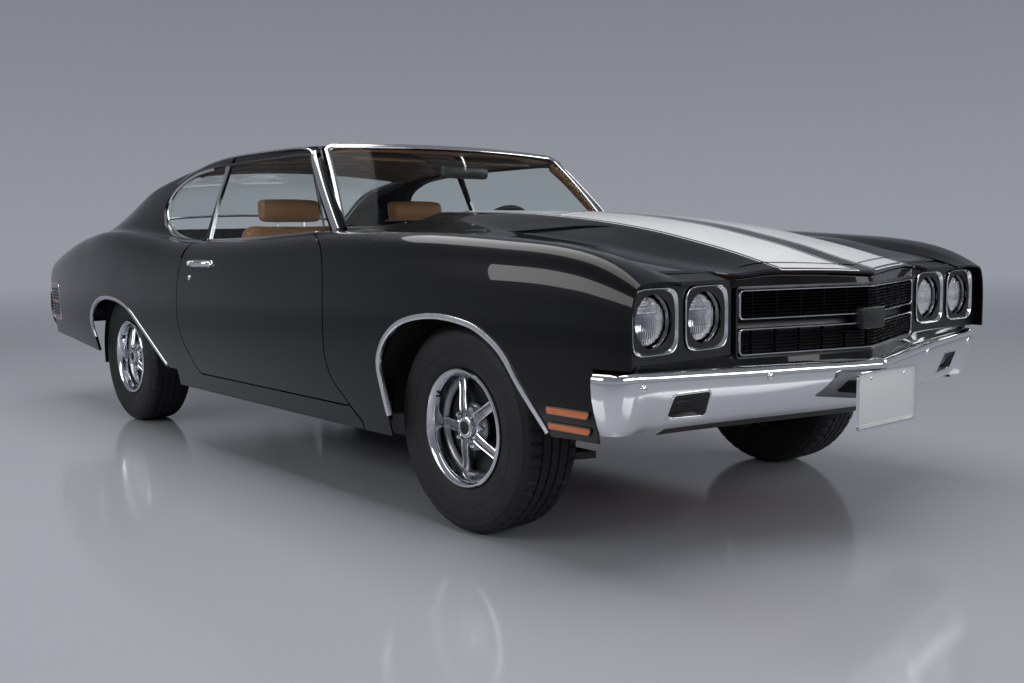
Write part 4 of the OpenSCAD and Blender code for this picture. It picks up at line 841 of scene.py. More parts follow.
def join(name, obs):
    """Joins objects into one new object of that name, keeping their materials; the pieces are removed."""
    mats = []
    bm = bmesh.new()
    for o in obs:
        slots = []
        for m in o.data.materials:
            if m not in mats:
                mats.append(m)
            slots.append(mats.index(m))
        first = len(bm.faces)
        bm.from_mesh(o.data)
        bm.faces.ensure_lookup_table()
        for f in bm.faces[first:]:
            f.material_index = slots[f.material_index] if slots else 0
    me = bpy.data.meshes.new(name)
    bm.to_mesh(me)
    bm.free()
    for m in mats:
        me.materials.append(m)
    for o in obs:
        bpy.data.objects.remove(o)
    ob = bpy.data.objects.new(name, me)
    scene.collection.objects.link(ob)
    return ob

def outline_plate(name, outline, thick, frame_of, mat, bevel=0.8):
    """A flat plate with a drawn outline; frame_of maps (u, v, w) to the scene."""
    n = len(outline)
    verts = [frame_of(u, v, 0) for u, v in outline] + [frame_of(u, v, thick) for u, v in outline]
    faces = [tuple(range(n)), tuple(range(2 * n - 1, n - 1, -1))]
    faces += [(i, (i + 1) % n, (i + 1) % n + n, i + n) for i in range(n)]
    return softened(tidy(make(name, verts, faces, mat, smooth=False), 0), bevel)
print("tools ready")

# %% [markdown]
# ## Body panels
# A panel is a sheet between an outer surface and an inner one. The concave foot
# of the sail panel and the roof's edge are given small fillets here: a crease
# without a radius never reads as pressed steel.

# %% The side's line with fillets
def trimmed(line, head, tail, n):
    p = np.array(line, float)
    run = np.r_[0, np.cumsum(np.hypot(*np.diff(p, axis=0).T))]
    q = np.linspace(head, run[-1] - tail, n + 1)
    return list(zip(np.interp(q, run, p[:, 0]).tolist(), np.interp(q, run, p[:, 1]).tolist()))

def length(line):
    return sum(math.dist(a, b) for a, b in zip(line, line[1:]))

def fillet(a, corner, b, n):
    return [tuple(mix(mix(a[i], corner[i], k / n), mix(corner[i], b[i], k / n), k / n) for i in (0, 1))
            for k in range(1, n)]

def side_line(s, foot=34, crest=16, steps=44):
    raw = section(s)
    side, ridge, edge = raw[:35], raw[34:45], raw[44:]
    foot = min(foot, length(ridge) * 0.35)
    crest = min(crest, length(ridge) * 0.3, length(edge) * 0.45)
    one = trimmed(side, 0, foot, steps)
    two = trimmed(ridge, foot, crest, 10)
    three = trimmed(edge, crest, 0, 3)
    return (one + fillet(one[-1], side[-1], two[0], 6) + two
            + fillet(two[-1], ridge[-1], three[0], 4) + three)

def side_grid(s0, s1, step, wall, line=side_line):
    rows = spread(s0, s1, max(2, round((s1 - s0) / step)))
    lines = [line(s) for s in rows]
    outer = [[pt(x, s, z) for x, z in ln] for s, ln in zip(rows, lines)]
    inner = [[pt(x, s, z) for x, z in inset(ln, wall)] for s, ln in zip(rows, lines)]
    return outer, inner
print("points in a section:", len(side_line(2400)))

# %% The openings, drawn from the side
DOOR_CUT = [(950, 1000), (936, 949), (868, 941), (798, 924), (738, 895), (700, 848), (678, 790),
            (674, 711), (674, 517), (650, 455), (625, 422), (573, 381), (538, 352), (1775, 352),
            (1828, 390), (1862, 435), (1915, 488), (1944, 545), (1956, 600), (1950, 740),
            (1942, 833), (1950, 880), (1962, 1000)]
FRONT_ARCH = [(-520, 200), (-505, 330), (-475, 398), (-382, 515), (-306, 606), (-207, 663),
              (-113, 685), (0, 693), (110, 683), (203, 658), (275, 612), (318, 555), (328, 505),
              (312, 420), (298, 345), (286, 200)]
REAR_ARCH = [(2030, 200), (2056, 294), (2263, 440), (2416, 532), (2562, 606), (2700, 640),
             (2840, 650), (2960, 642), (3056, 612), (3120, 570), (3153, 522), (3150, 480),
             (3128, 420), (3100, 200)]
QUARTER_WINDOW = [(1980, 912), (2100, 914), (2239, 932), (2360, 958), (2460, 1004), (2540, 1075),
                  (2562, 1130), (2530, 1172), (2440, 1212), (2330, 1242), (2200, 1260), (2010, 1272)]
def arch(outline):
    """A wheel opening: the drawn points joined by a soft curve, with straight legs."""
    curve = [tuple(p)[:2] for p in smooth_path([(s, z, 0) for s, z in outline[1:-1]], 72)]
    return [outline[0]] + curve + [outline[-1]]
ARCHES = {"front": arch(FRONT_ARCH), "rear": arch(REAR_ARCH)}
door_line = rounded(DOOR_CUT, 26, 5)

# %% Front fenders
def fender():
    outer, inner = side_grid(-775, 930, 11, 6)
    ob = sheet("fender_left_panel", outer, inner, paint)
    source = skin("shade", outer)
    cut(ob, prism(ARCHES["front"], 600, 1100), prism(grown(door_line, 6), 600, 1100),
        prism([(-800, 300), (-660, 300), (-660, 584), (-800, 584)], 600, 1100),
        prism([(466, 200), (466, 304), (540, 360), (1000, 360), (1000, 200)], 600, 1100),
        prism([(880, 900), (880, 1100), (1000, 1100), (1000, 900)], 600, 766))
    return both(ob, source)
fenders = fender()
place(fenders[0], replaces=["front_fender_left"])
place(fenders[1], replaces=["front_fender_right"])

# %% [markdown]
# A door is a pressed skin hemmed round a box. The skin stops at the shoulder;
# the box behind it is a little smaller all round so that it clears the opening
# as the door swings.

# %% Doors
def door_edge(s):
    return trimmed(section(s, topped=False), 0, 0, 48)
DOOR_EDGE = [(s + 5, z) if z > 900 and s < 960 else (s, z) for s, z in DOOR_CUT]
door_skin_line = rounded(DOOR_EDGE, 26, 5)
door_shell_line = rounded(grown(DOOR_EDGE, -10), 14, 3)
def door():
    outer, inner = side_grid(500, 1990, 11, 5, door_edge)
    ob = sheet("door_left_skin", outer, inner, paint)
    source = skin("shade", outer)
    shape = prism(door_skin_line, 600, 1100)
    cut(ob, shape, operation="INTERSECT")
    skins = both(ob, source)
    rows = spread(500, 1990, 60)
    lines = [inset(trimmed(section(s, topped=False), 0, 0, 24), 4.5) for s in rows]
    a = [[pt(x, s, z) for x, z in ln] for s, ln in zip(rows, lines)]
    b = [[pt(766.5, s, mix(ln[0][1], ln[-1][1] - 3, k / 24)) for k in range(25)]
         for s, ln in zip(rows, lines)]
    shell = sheet("door_left_shell", a, b, paint)
    cut(shell, prism(door_shell_line, 600, 1100), operation="INTERSECT")
    for z in (470, 750):
        cut(shell, prism([(600, z - 46), (790, z - 46), (790, z + 46), (600, z + 46)], 850, 1000))
    crisp(shell, 30)
    return skins, (shell, mirrored(shell, "door_right_shell"))
door_skins, door_shells = door()
for side, sk, sh in zip(("left", "right"), door_skins, door_shells):
    place([sk, sh], "door_" + side, replaces=["door_" + side])
print("door skin faces:", len(door_skins[0].data.polygons))

# %% Rear quarters
def quarter():
    outer, inner = side_grid(1775, 4006, 12, 14)
    ob = sheet("quarter_left_panel", outer, inner, paint)
    source = skin("shade", outer)
    cut(ob, prism(ARCHES["rear"], 600, 1100), prism(grown(door_line, 6), 600, 1100),
        prism([(1700, 850), (1968, 850), (1968, 1400), (1700, 1400)], 400, 1100),
        prism(rounded(QUARTER_WINDOW, 30, 5), 470, 812),
        prism([(1700, 200), (2120, 200), (2120, 346), (1700, 346)], 600, 1100),
        prism([(3950, 200), (4100, 200), (4100, 648), (3950, 648)], 600, 1100))
    return both(ob, source)
quarters = quarter()
place(quarters[0], replaces=["quarter_panel_left"])
place(quarters[1], replaces=["quarter_panel_right"])

# %% Sill covers
def sill():
    outer, inner = side_grid(466, 2050, 24, 3, lambda s: trimmed(section(s, topped=False)[:13], 0, 0, 12))
    ob = sheet("sill_left", outer, inner, paint)
    source = skin("shade", outer)
    cut(ob, prism([(474, 262), (474, 298), (542, 352), (560, 346), (2040, 346), (2046, 262)], 600, 1100),
        operation="INTERSECT")
    return both(ob, source)
place(sill())

# %% [markdown]
# The roof, hood and trunk lid span the car, so each is one sheet between two
# height fields. Their edges roll down a few millimetres, as a hemmed edge does.

# %% Roof
def roof_half(s):
    return at("side", s, 7) - 0.6 if s > 1960 else at("roof", s, 1)

def roof_z(s, u):
    return mix(at("roof", s, 3), at("roof", s, 2), abs(u) ** 2.4)

def top_sheet(name, rows, cols, where, depth, mat, roll=4, rim=None):
    """where(v, u) gives (x, s, z); u runs across, v along; the edges roll down."""
    us = [math.copysign(1 - (1 - abs(q)) ** 1.25, q) for q in spread(-1, 1, cols)]
    vs = spread(0, 1, rows)
    outer = [[pt(*where(v, u)) for u in us] for v in vs]
    source = skin("shade", outer)
    inner = [[p - Vector((0, 0, depth / 1000)) for p in row] for row in outer]
    drop = Vector((0, 0, -roll / 1000))
    for i, row in enumerate(outer):
        for j in range(len(row)):
            if i in (0, len(outer) - 1) or j in (0, len(row) - 1):
                row[j] = row[j] + drop
    ob = sheet(name, outer, inner, mat)
    lend_shading(ob, source)
    bpy.data.objects.remove(source)
    return ob

def roof_at(v, u):
    x = u * roof_half(mix(1152, 2489, v))
    front = 1152 + 54 * (x / 628) ** 2
    s = mix(front, 2489, v)
    half = roof_half(s)
    return u * half, s, roof_z(s, u)
roof = top_sheet("roof_skin", 90, 72, roof_at, 14, paint, roll=1)
place(roof, replaces=["roof_panel"])

# %% Hood
HOOD_X, VALLEY_X, DOME_X = 714, 490, 300
def hood_z(a, s):
    seam, valley, dome, mid = (at("hood", s, c) for c in (1, 2, 3, 4))
    if a < DOME_X:
        return mix(mid, dome, (a / DOME_X) ** 2)
    if a < VALLEY_X:
        return mix(dome, valley, ease((a - DOME_X) / (VALLEY_X - DOME_X)))
    return mix(valley, seam, ease((a - VALLEY_X) / (HOOD_X - VALLEY_X)))

def hood_front(a):
    if a <= 466:
        return -888 + 133 * a / 489
    return mix(-888 + 133 * 466 / 489, -694, ease((a - 466) / 64))

def hood_at(v, u):
    x = u * HOOD_X
    s = mix(hood_front(abs(x)), 800 + 45 * (x / 714) ** 2, v)
    return x, s, hood_z(abs(x), s)
hood = top_sheet("hood_skin", 130, 150, hood_at, 9, hood_paint, roll=3.5)
place(hood, "hood", replaces=["hood"])

# %% Trunk lid
def lid_half(s):
    return at("side", s, 7) - 6 - max(0, (3280 - s) / 16)

def deck_z(s, t):
    return mix(at("deck", s, 2), at("deck", s, 1), t * t)

def lid_at(v, u):
    s = mix(3216, 4000, v)
    return u * lid_half(s), s, deck_z(s, abs(u))
lid = top_sheet("trunk_lid_skin", 70, 80, lid_at, 9, lid_paint, roll=3.5)
place(lid, "trunk_lid", replaces=["trunk_lid"])

# %% [markdown]
# Under the hood and the trunk lid a pressed inner frame stiffens the skin: a
# rim and a few ribs. It is what shows when either is open.

# %% Inner frames of hood and lid
def under_frame(name, where, body, bars, gap, mat):
    made = []
    for k, (a, b, w) in enumerate(bars):
        path = [pt(*where(mix(a[1], b[1], q), mix(a[0], b[0], q))) for q in spread(0, 1, 24)]
        path = [p - Vector((0, 0, (gap + 9) / 1000)) for p in path]
        prof = [(9, -w / 2), (-7, -w / 2 + 12), (-9, -w / 2 + 16), (-9, w / 2 - 16), (-7, w / 2 - 12), (9, w / 2)]
        made.append(sweep("rib", path, Vector((0, 0, 1)), prof, mat))
    ob = join(name, made)
    place(ob, body)
    return ob
under_frame("hood_inner", hood_at, "hood",
            [((-0.9, 0.07), (0.9, 0.07), 90), ((-0.9, 0.95), (0.9, 0.95), 80), ((-0.9, 0.07), (-0.9, 0.95), 90),
             ((0.9, 0.07), (0.9, 0.95), 90), ((-0.86, 0.94), (-0.2, 0.1), 70), ((0.86, 0.94), (0.2, 0.1), 70)], 10, paint)
under_frame("trunk_lid_inner", lid_at, "trunk_lid",
            [((-0.88, 0.08), (0.88, 0.08), 80), ((-0.88, 0.92), (0.88, 0.92), 80), ((-0.88, 0.08), (-0.88, 0.92), 80),
             ((0.88, 0.08), (0.88, 0.92), 80), ((-0.5, 0.1), (0, 0.9), 60), ((0.5, 0.1), (0, 0.9), 60)], 10, paint)

# %% [markdown]
# ## Glass
# The windshield is bent both ways and sits a little inside the bright reveal
# moulding that covers its seal. Each pane is a closed sheet, so light bends
# in and out of it as it should.

# %% Windshield and rear window
def shield(u, v, out=0.0):
    x = u * mix(735, 628, v)
    s = mix(850, 1148.4, v) + 54 * u * u - 22 * v * (1 - v)
    z = mix(962 - 7 * u * u, 1315 - 15 * u * u, v) + 40 * v * (1 - v)
    n = Vector((0.28 * u, -0.72, 0.64)).normalized() * (out / 1000)
    return pt(x, s, z) + n

def rear_light(u, v, out=0.0):
    s = mix(3150, 2489.3, v)
    x = u * (at("side", s, 7) - 6)
    z = at("side", s, 8) - 16 + 32 * (1 - u * u)
    n = Vector((0.1 * u, 0.42, 0.9)).normalized() * (out / 1000)
    return pt(x, s, z) + n

def pane_of(name, fn, nu, nv, thick, mat, body, node, lim=0.985):
    outer = [[fn(u, v) for u in spread(-lim, lim, nu)] for v in spread(0, 1, nv)]
    inner = [[fn(u, v, -thick) for u in spread(-lim, lim, nu)] for v in spread(0, 1, nv)]
    ob = sheet(name, outer, inner, mat)
    crisp(ob, 50)
    return place(ob, body, "clear_glass", [node])
pane_of("windshield_pane", shield, 56, 30, 5, clear, "root", "windshield")
pane_of("rear_window_pane", rear_light, 48, 30, 4, clear, "root", "rear_window", 1.0)

# %% Side glass
DOOR_FEET = [948, 1100, 1300, 1500, 1740, 1953]
DOOR_HEADS = [(1234, 1258), (1330, 1264), (1480, 1264), (1640, 1264), (1820, 1264), (1995, 1264)]
QUARTER_PAIRS = [((1965, 926), (2007, 1264)), ((2100, 925), (2120, 1260)), ((2237, 943), (2290, 1246.8)),
                 ((2357, 970), (2420, 1216)), ((2457, 1012), (2510, 1176)), ((2536, 1078), (2554, 1130))]
def plane_x(z):
    return mix(784, 650, (z - 925) / 375)

def side_pane(name, feet, heads, sign, body, node):
    f = smooth_path([(s, z, 0) for s, z in feet], 30)
    h = smooth_path([(s, z, 0) for s, z in heads], 30)
    rows = []
    for q in spread(0, 1, 16):
        row = [(mix(a.x, b.x, q), mix(a.y, b.y, q)) for a, b in zip(f, h)]
        rows.append([pt(sign * (plane_x(z) + 4 * math.sin(math.pi * q)), s, z) for s, z in row])
    inner = [[p - Vector((sign * 0.0042, 0, 0.0015)) for p in row] for row in rows]
    ob = crisp(sheet(name, rows, inner, clear), 50)
    return place(ob, body, "clear_glass", [node] if node else [])
for side, sg in (("left", 1), ("right", -1)):
    side_pane("door_glass_%s_pane" % side, [(s, at("side", s, 4) + 0.6) for s in DOOR_FEET], DOOR_HEADS, sg,
              "door_" + side, "door_glass_" + side)
    side_pane("quarter_glass_%s_pane" % side, [a for a, b in QUARTER_PAIRS], [b for a, b in QUARTER_PAIRS], sg,
              "root", "quarter_glasses" if sg > 0 else None)

# %% [markdown]
# ## Bright mouldings
# Every moulding is a small section carried along an edge: reveals round the
# glass, the drip rail from the windshield over the side windows, belt strips
# and wheel lips.

# %% Reveals and pillars
FLAT = [(-3, -11), (1.5, -11), (3.6, -8), (4.4, -3), (4.4, 3), (3.6, 8), (1.5, 11), (-3, 11)]
SLIM = [(-2, -6), (1, -6), (2.6, -4), (3, 0), (2.6, 4), (1, 6), (-2, 6)]
def shield_edge(a, b, n, out=3):
    return [shield(mix(a[0], b[0], q), mix(a[1], b[1], q), out) for q in spread(0, 1, n)]
top_run = (shield_edge((-0.975, 0.03), (-0.975, 0.94), 24) + shield_edge((-0.93, 0.985), (0.93, 0.985), 40)
           + shield_edge((0.975, 0.94), (0.975, 0.03), 24))
top_run = smooth_path(top_run, 140)
reveals = [sweep("shield_reveal", top_run, Vector((0, -0.75, 0.62)), FLAT, bright)]
reveals.append(sweep("shield_foot", smooth_path(shield_edge((-0.97, 0.02), (0.97, 0.02), 40), 60), Vector((0, -0.6, 0.8)), SLIM, satin_black))
back_run = smooth_path([rear_light(u, v, 3) for u, v in
                        [(-0.97, q) for q in spread(0.03, 0.95, 20)] + [(q, 0.985) for q in spread(-0.93, 0.93, 30)]
                        + [(0.97, q) for q in spread(0.95, 0.03, 20)] + [(q, 0.012) for q in spread(0.93, -0.93, 30)]], 180, closed=True)
reveals.append(sweep("rear_reveal", back_run, Vector((0, 0.4, 0.9)), [(u, v * 0.8) for u, v in FLAT], bright, closed=True))
for sg in (1, -1):
    a_pillar = [Vector((sg * p.x, p.y, p.z)) for p in
                smooth_path([pt(752, 897, 957), pt(742, 944, 1003), pt(716, 1052, 1113), pt(686, 1150, 1212), pt(660, 1214, 1272)], 26)]
    reveals.append(sweep("pillar", a_pillar, Vector((sg * 0.86, -0.1, 0.5)),
                         [(-5, -15), (3, -15), (6, -11), (7, -2), (6, 8), (3, 13), (-5, 13)], bright))
    reveals.append(sweep("pillar_post", [p - Vector((sg * 0.009, -0.001, 0.005)) for p in a_pillar], Vector((sg * 0.86, -0.1, 0.5)),
                         [(-20, -31), (-2, -33), (1, -20), (2, 0), (1, 20), (-2, 33), (-20, 31)], paint))
    reveals.append(sweep("pillar_inside", [p - Vector((sg * 0.028, -0.003, 0.016)) for p in a_pillar], Vector((sg * 0.86, -0.1, 0.5)),
                         [(-12, -20), (0, -26), (0, 26), (-12, 20), (-16, 0)], tan_trim))
place(join("window_reveals", reveals), slot="bright_trim")

# %% Drip rail and quarter window frame
rails = []
for sg in (1, -1):
    drip = [(668, 1196, 1262), (660, 1240, 1285), (657, 1330, 1298), (657, 1500, 1303), (657, 1800, 1305),
            (655, 2000, 1302), (652, 2180, 1290), (656, 2330, 1268), (665, 2440, 1242), (682, 2530, 1207)]
    path = smooth_path([pt(sg * x, s, z) for x, s, z in drip], 110)
    rails.append(sweep("drip", path, Vector((sg * 0.9, 0, 0.35)),
                       [(-4, -6), (4, -7), (8, -5), (9, -1), (7, 2), (4.5, 1), (4, 4), (-4, 5)], bright))
    rail = smooth_path([pt(sg * x, s, z) for x, s, z in [(662, 1196, 1256), (652, 1222, 1272), (648, 1300, 1280), (648, 1500, 1282),
                                                         (648, 1800, 1282), (646, 1990, 1279)]], 60)
    rails.append(sweep("roof_rail", rail, Vector((sg, 0, 0.25)), [(-12, -24), (3, -22), (5, 0), (3, 22), (-12, 22)], paint))
    seal = smooth_path([pt(sg * (plane_x(z) - 2), s, z + 5) for s, z in [(1222, 1256)] + DOOR_HEADS[1:] + [(2120, 1263), (2290, 1250), (2420, 1220), (2512, 1181), (2556, 1130)]], 90)
    rails.append(sweep("seal", seal, Vector((sg, 0, 0.2)), half_round(16, 8, 6, -3), seal_rubber))
    hoop = [p[1] for p in QUARTER_PAIRS[1:]] + [(2568, 1102), (2550, 1078), (2500, 1030)] + [p[0] for p in QUARTER_PAIRS[4::-1]]
    hoop = smooth_path([pt(sg * (plane_x(z) + 15), s, z) for s, z in hoop], 110)
    rails.append(sweep("hoop", hoop, Vector((sg, 0, 0.33)), half_round(17, 6, 7, -5), bright))
place(join("side_rails", rails), slot="bright_trim")

for side, sg in (("left", 1), ("right", -1)):
    edge = [pt(sg * (plane_x(z) + 3 + 4 * math.sin(math.pi * q)), s, z) for q, s, z in
            [(q, mix(1953, 1995, q), mix(at("side", 1953, 4) + 4, 1262, q)) for q in spread(0, 1, 24)]]
    post = sweep("divider", edge, Vector((sg, 0, 0.33)), [(-9, -9), (4, -9), (6.5, -6), (6.5, 6), (4, 9), (-9, 9)], bright)
    lead = smooth_path([pt(sg * (plane_x(z) + 4), s, z) for s, z in [(950, 962), (1030, 1052), (1120, 1150), (1228, 1256)]], 30)
    front = sweep("glass_lead", lead, Vector((sg, 0, 0.33)), half_round(9, 5, 6, -3), seal_rubber)
    belt = smooth_path([pt(sg * (at("side", s, 3) - 3), s, at("side", s, 4) + 1.5) for s in spread(962, 1948, 12)], 60)
    strip1 = sweep("belt", belt, Vector((sg * 0.3, 0, 1)), [(-4, -6), (3, -6), (5, -2), (4.5, 5), (1, 9), (-4, 9)], bright)
    belt2 = [p - Vector((sg * 0.026, 0, 0)) for p in belt]
    strip2 = sweep("belt_in", belt2, Vector((0, 0, 1)), half_round(12, 8, 6, -3), seal_rubber)
    place(join("door_window_trim_" + side, [post, front, strip1, strip2]), "door_" + side, "bright_trim")
    qbelt = smooth_path([pt(sg * (plane_x(z) + 22), s, z) for s, z in [(1972, 914), (2100, 916), (2240, 933), (2360, 960), (2450, 1000)]], 40)
    place(join("quarter_belt_" + side, [sweep("belt", qbelt, Vector((sg * 0.4, 0, 1)), [(-3, -6), (3, -6), (5, -2), (4, 6), (-3, 6)], bright)]), slot="bright_trim")

# %% [markdown]
# The wheel lips are flat bright bands that stand just proud of the fender.

# %% Wheel lips and side markers
def lip(name, outline, sg):
    path2 = [p for p in outline if p[1] > (388 if p[0] < -400 else 352 if p[0] > 1500 else 240)]
    pts = [pt(sg * (side_x(s, z) + 0.4), s, z) for s, z in path2]
    pts = smooth_path(pts, 120)
    norm = [side_out(p.y * 1000 + AXLE, p.z * 1000) for p in pts]
    norm = [Vector((sg * n.x, n.y, n.z)) for n in norm]
    prof = [(-9, -3), (0, -4), (3.4, -3), (4.6, 2), (4.4, 11), (3, 14), (0.4, 15), (-9, 15)]
    if sg < 0:
        prof = [(u, -v) for u, v in prof]
    return sweep(name, pts, norm, prof, bright)
for side, sg in (("left", 1), ("right", -1)):
    lips = []
    for end, line in ARCHES.items():
        mid = (0, 400) if end == "front" else (2845, 400)
        order = line
        one = lip("lip", order, sg)
        lips.append(one)
    rock = smooth_path([pt(sg * (side_x(s, 345) + 1), s, mix(352, 352, 0)) for s in spread(560, 2040, 10)], 60)
    place(join("wheel_lips_" + side, lips), slot="bright_trim")
    marks = []
    for z0, z1 in ((447, 466), (404, 422)):
        shape = [(-483, z0), (-483, z1), (-643, z1), (-632, z0)]
        n = 40
        ring = rounded(shape, 5, 3)
        outer = [pt(sg * (side_x(s, z) + 5.5), s, z) for s, z in ring]
        rimp = [pt(sg * (side_x(s, z) + 1.2), s, z) for s, z in ring]
        m = make("lens", outer + [pt(sg * (side_x(s, z) - 3), s, z) for s, z in ring],
                 [tuple(range(len(ring)))] + [(i, (i + 1) % len(ring), (i + 1) % len(ring) + len(ring), i + len(ring)) for i in range(len(ring))], amber, smooth=False)
        marks.append(softened(tidy(m, 0), 1.5))
        marks.append(sweep("rim", rimp, Vector((sg, 0, 0)), [(-3, -3), (3.5, -3), (4.5, 0), (3.5, 2.5), (-3, 2.5)], satin_black, closed=True))
    ribs_s = [(3782, 484), (3782, 689), (3973, 689), (3973, 484)]
    base = rounded(ribs_s, 16, 4)
    ringp = [pt(sg * (side_x(s, z) + 1.5), s, z) for s, z in base]
    marks.append(sweep("rear_rim", ringp, Vector((sg, 0, 0)), half_round(9, 4.5, 6, -2), bright, closed=True))
    for k in range(11):
        z = mix(500, 673, k / 10)
        marks.append(sweep("rib", [pt(sg * (side_x(s, z) + 1), s, z) for s in spread(3794, 3961, 10)], Vector((sg, 0, 0)),
                           [(-3, -5.5), (1.5, -5), (4, 0), (1.5, 5), (-3, 5.5)], satin_black if k % 5 else red))
    place(join("side_markers_" + side, marks), slot="black_plastic")

# %% Door handles and locks
def handle(sg):
    z = 828
    parts = []
    base = rounded([(1627, z - 15), (1827, z - 15), (1850, z), (1827, z + 15), (1627, z + 15), (1612, z)], 12, 5)
    def on(s, zz, t):
        return pt(sg * (side_x(s, zz) + t), s, zz)
    pad = make("pad", [on(s, q, 4) for s, q in base] + [on(s, q, -2) for s, q in base],
               [tuple(range(len(base)))] + [(i, (i + 1) % len(base), (i + 1) % len(base) + len(base), i + len(base)) for i in range(len(base))], chrome, smooth=False)
    parts.append(softened(tidy(pad, 0), 2))
    reach = [(1640, 4), (1646, 16), (1662, 25), (1700, 29), (1750, 29), (1788, 25), (1806, 15), (1812, 4)]
    path = smooth_path([on(s, z, t) for s, t in reach], 44)
    blade = [(9 * math.cos(a), 5 * math.sin(a)) for a in spread(0, 2 * math.pi, 16)[:-1]]
    parts.append(sweep("grip", path, Vector((0, 0, 1)), blade, chrome))
    push = lathe("push", [(0, 25), (8, 24.5), (10.6, 22), (11, 0), (0, 0)], chrome, 28, face=sg)
    push.data.transform(Matrix.Translation(on(1818, z, 0)))
    parts.append(push)
    lock = lathe("lock", [(0, 4), (3, 4), (3.2, 5), (9, 5), (11.5, 3.4), (12, -2), (0, -2)], chrome, 28, face=sg)
    lock.data.transform(Matrix.Translation(on(1822, z - 62, 0)))
    parts.append(lock)
    return join("door_handle_" + ("left" if sg > 0 else "right"), parts)
for side, sg in (("left", 1), ("right", -1)):
    place(handle(sg), "door_" + side, "bright_trim")

# %% Wipers
wip = []
for x0, x1 in ((-540, -60), (60, 560)):
    root = pt(x1, 842 + 40 * (x1 / 714) ** 2, 979)
    arm = smooth_path([root, root + Vector((-0.05, 0.006, 0.018)), shield(mix(x1, x0, 0.45) / 735, 0.055, 16), shield(mix(x1, x0, 0.62) / 735, 0.06, 14)], 26)
    wip.append(sweep("arm", arm, Vector((0, -0.7, 0.7)), [(-2, -4), (1, -4), (2.5, 0), (1, 4), (-2, 4)], bright))
    hub = lathe("pivot", [(0, 20), (7, 19), (11, 15), (12, 0), (0, 0)], bright, 24, axis="Z")
    hub.data.transform(Matrix.Translation(root - Vector((0, 0, 0.012))))
    wip.append(hub)
    blade = [shield(mix(x1 - 70, x0, q) / 735, 0.06 + 0.012 * q, 9) for q in spread(0, 1, 30)]
    wip.append(sweep("blade", blade, Vector((0, -0.7, 0.7)), [(-6, -1.6), (0, -3), (3, -2.5), (4.5, 0), (3, 2.5), (0, 3), (-6, 1.6)], satin_black))
place(join("wipers", wip), slot="black_plastic")
print("glass and trim done")

# %% [markdown]
# ## Bumpers
# A bumper is one pressed section carried along a curve and round each corner.
# The section is drawn from its top shelf over the leaning face to its foot.

# %% Bumper shells
FRONT_BAR = np.array([[0, -935, 555, 412], [120, -905, 556, 410], [300, -862, 560, 409],
                      [480, -820, 563, 409], [640, -786, 568, 409], [800, -762, 574, 409],
                      [890, -752, 577, 409]], float)
REAR_BAR = np.array([[0, 4065.5, 640, 440], [300, 4064, 640, 440], [600, 4060, 640, 440],
                     [780, 4054, 640, 440], [850, 4050, 640, 440]], float)
FRONT_FACE = [(64, 1.0), (22, 0.99), (4, 0.93), (0, 0.82), (3, 0.62), (16, 0.38), (36, 0.12), (52, 0.0)]
REAR_FACE = [(26, 1.0), (8, 0.99), (0, 0.95), (0, 0.55), (4, 0.35), (14, 0.12), (28, 0.0)]
FAIR["front_bar"], FAIR["rear_bar"] = faired(FRONT_BAR, 5, 30), faired(REAR_BAR, 5, 30)

def soft_face(face, n=34):
    pts = smooth_path([(a, b * 150, 0) for a, b in face], n)
    return [(p.x, min(1.0, max(0.0, p.y / 150))) for p in pts]

def bar_rows(table, face, corner, radius, way, thick, shallow=1.0):
    """Half the bar: rings of scene points from the middle to the corner's end."""
    rings = []
    stops = [(x, 0) for x in spread(0, corner, 64)] + [(corner, a) for a in spread(0, 90, 16)[1:]]
    for x, turn in stops:
        k = mix(1, shallow, ease((x - 780) / (corner - 780)))
        t = math.radians(turn)
        ring = []
        for back, share in face:
            r = radius - back * k - thick
            z = mix(at(table, x, 3), at(table, x, 2), share) + thick * (1 - 2 * share) / 2
            ring.append(pt(x + r * math.sin(t), at(table, x, 1) + way * (radius - r * math.cos(t)), z))
        rings.append(ring)
    return rings

def whole(rings):
    return [[Vector((-p.x, p.y, p.z)) for p in r] for r in rings[:0:-1]] + rings

def bumper(name, table, face, corner, radius, way, shallow, cutters):
    face = soft_face(face)
    outer = whole(bar_rows(table, face, corner, radius, way, 0, shallow))
    inner = whole(bar_rows(table, face, corner, radius, way, 4, shallow))
    ob = sheet(name, outer, inner, chrome)
    source = skin("shade", outer)
    if cutters:
        cut(ob, *cutters)
    lend_shading(ob, source)
    bpy.data.objects.remove(source)
    return ob

def across_y(outline, s0, s1, mat=None):
    """A solid along the car with its outline drawn in [x, z]."""
    n = len(outline)
    verts = [pt(x, s0, z) for x, z in outline] + [pt(x, s1, z) for x, z in outline]
    faces = [tuple(range(n)), tuple(range(2 * n - 1, n - 1, -1))]
    faces += [(i, (i + 1) % n, (i + 1) % n + n, i + n) for i in range(n)]
    return tidy(make("across", verts, faces, mat, smooth=False), 0)

PARK = [(611, 436), (745, 440), (742, 506), (618, 508)]
park_holes = [across_y(rounded([(s * x, z) for x, z in PARK], 14), -860, -740) for s in (1, -1)]
front_bar = bumper("front_bumper_bar", "front_bar", FRONT_FACE, 870, 82, 1, 0.7, park_holes)
rear_bar = bumper("rear_bumper_bar", "rear_bar", REAR_FACE, 838, 64, -1, 1.0, [])
place(front_bar, slot="bright_trim", replaces=["front_bumper"])
place(rear_bar, slot="bright_trim", replaces=["rear_bumper"])

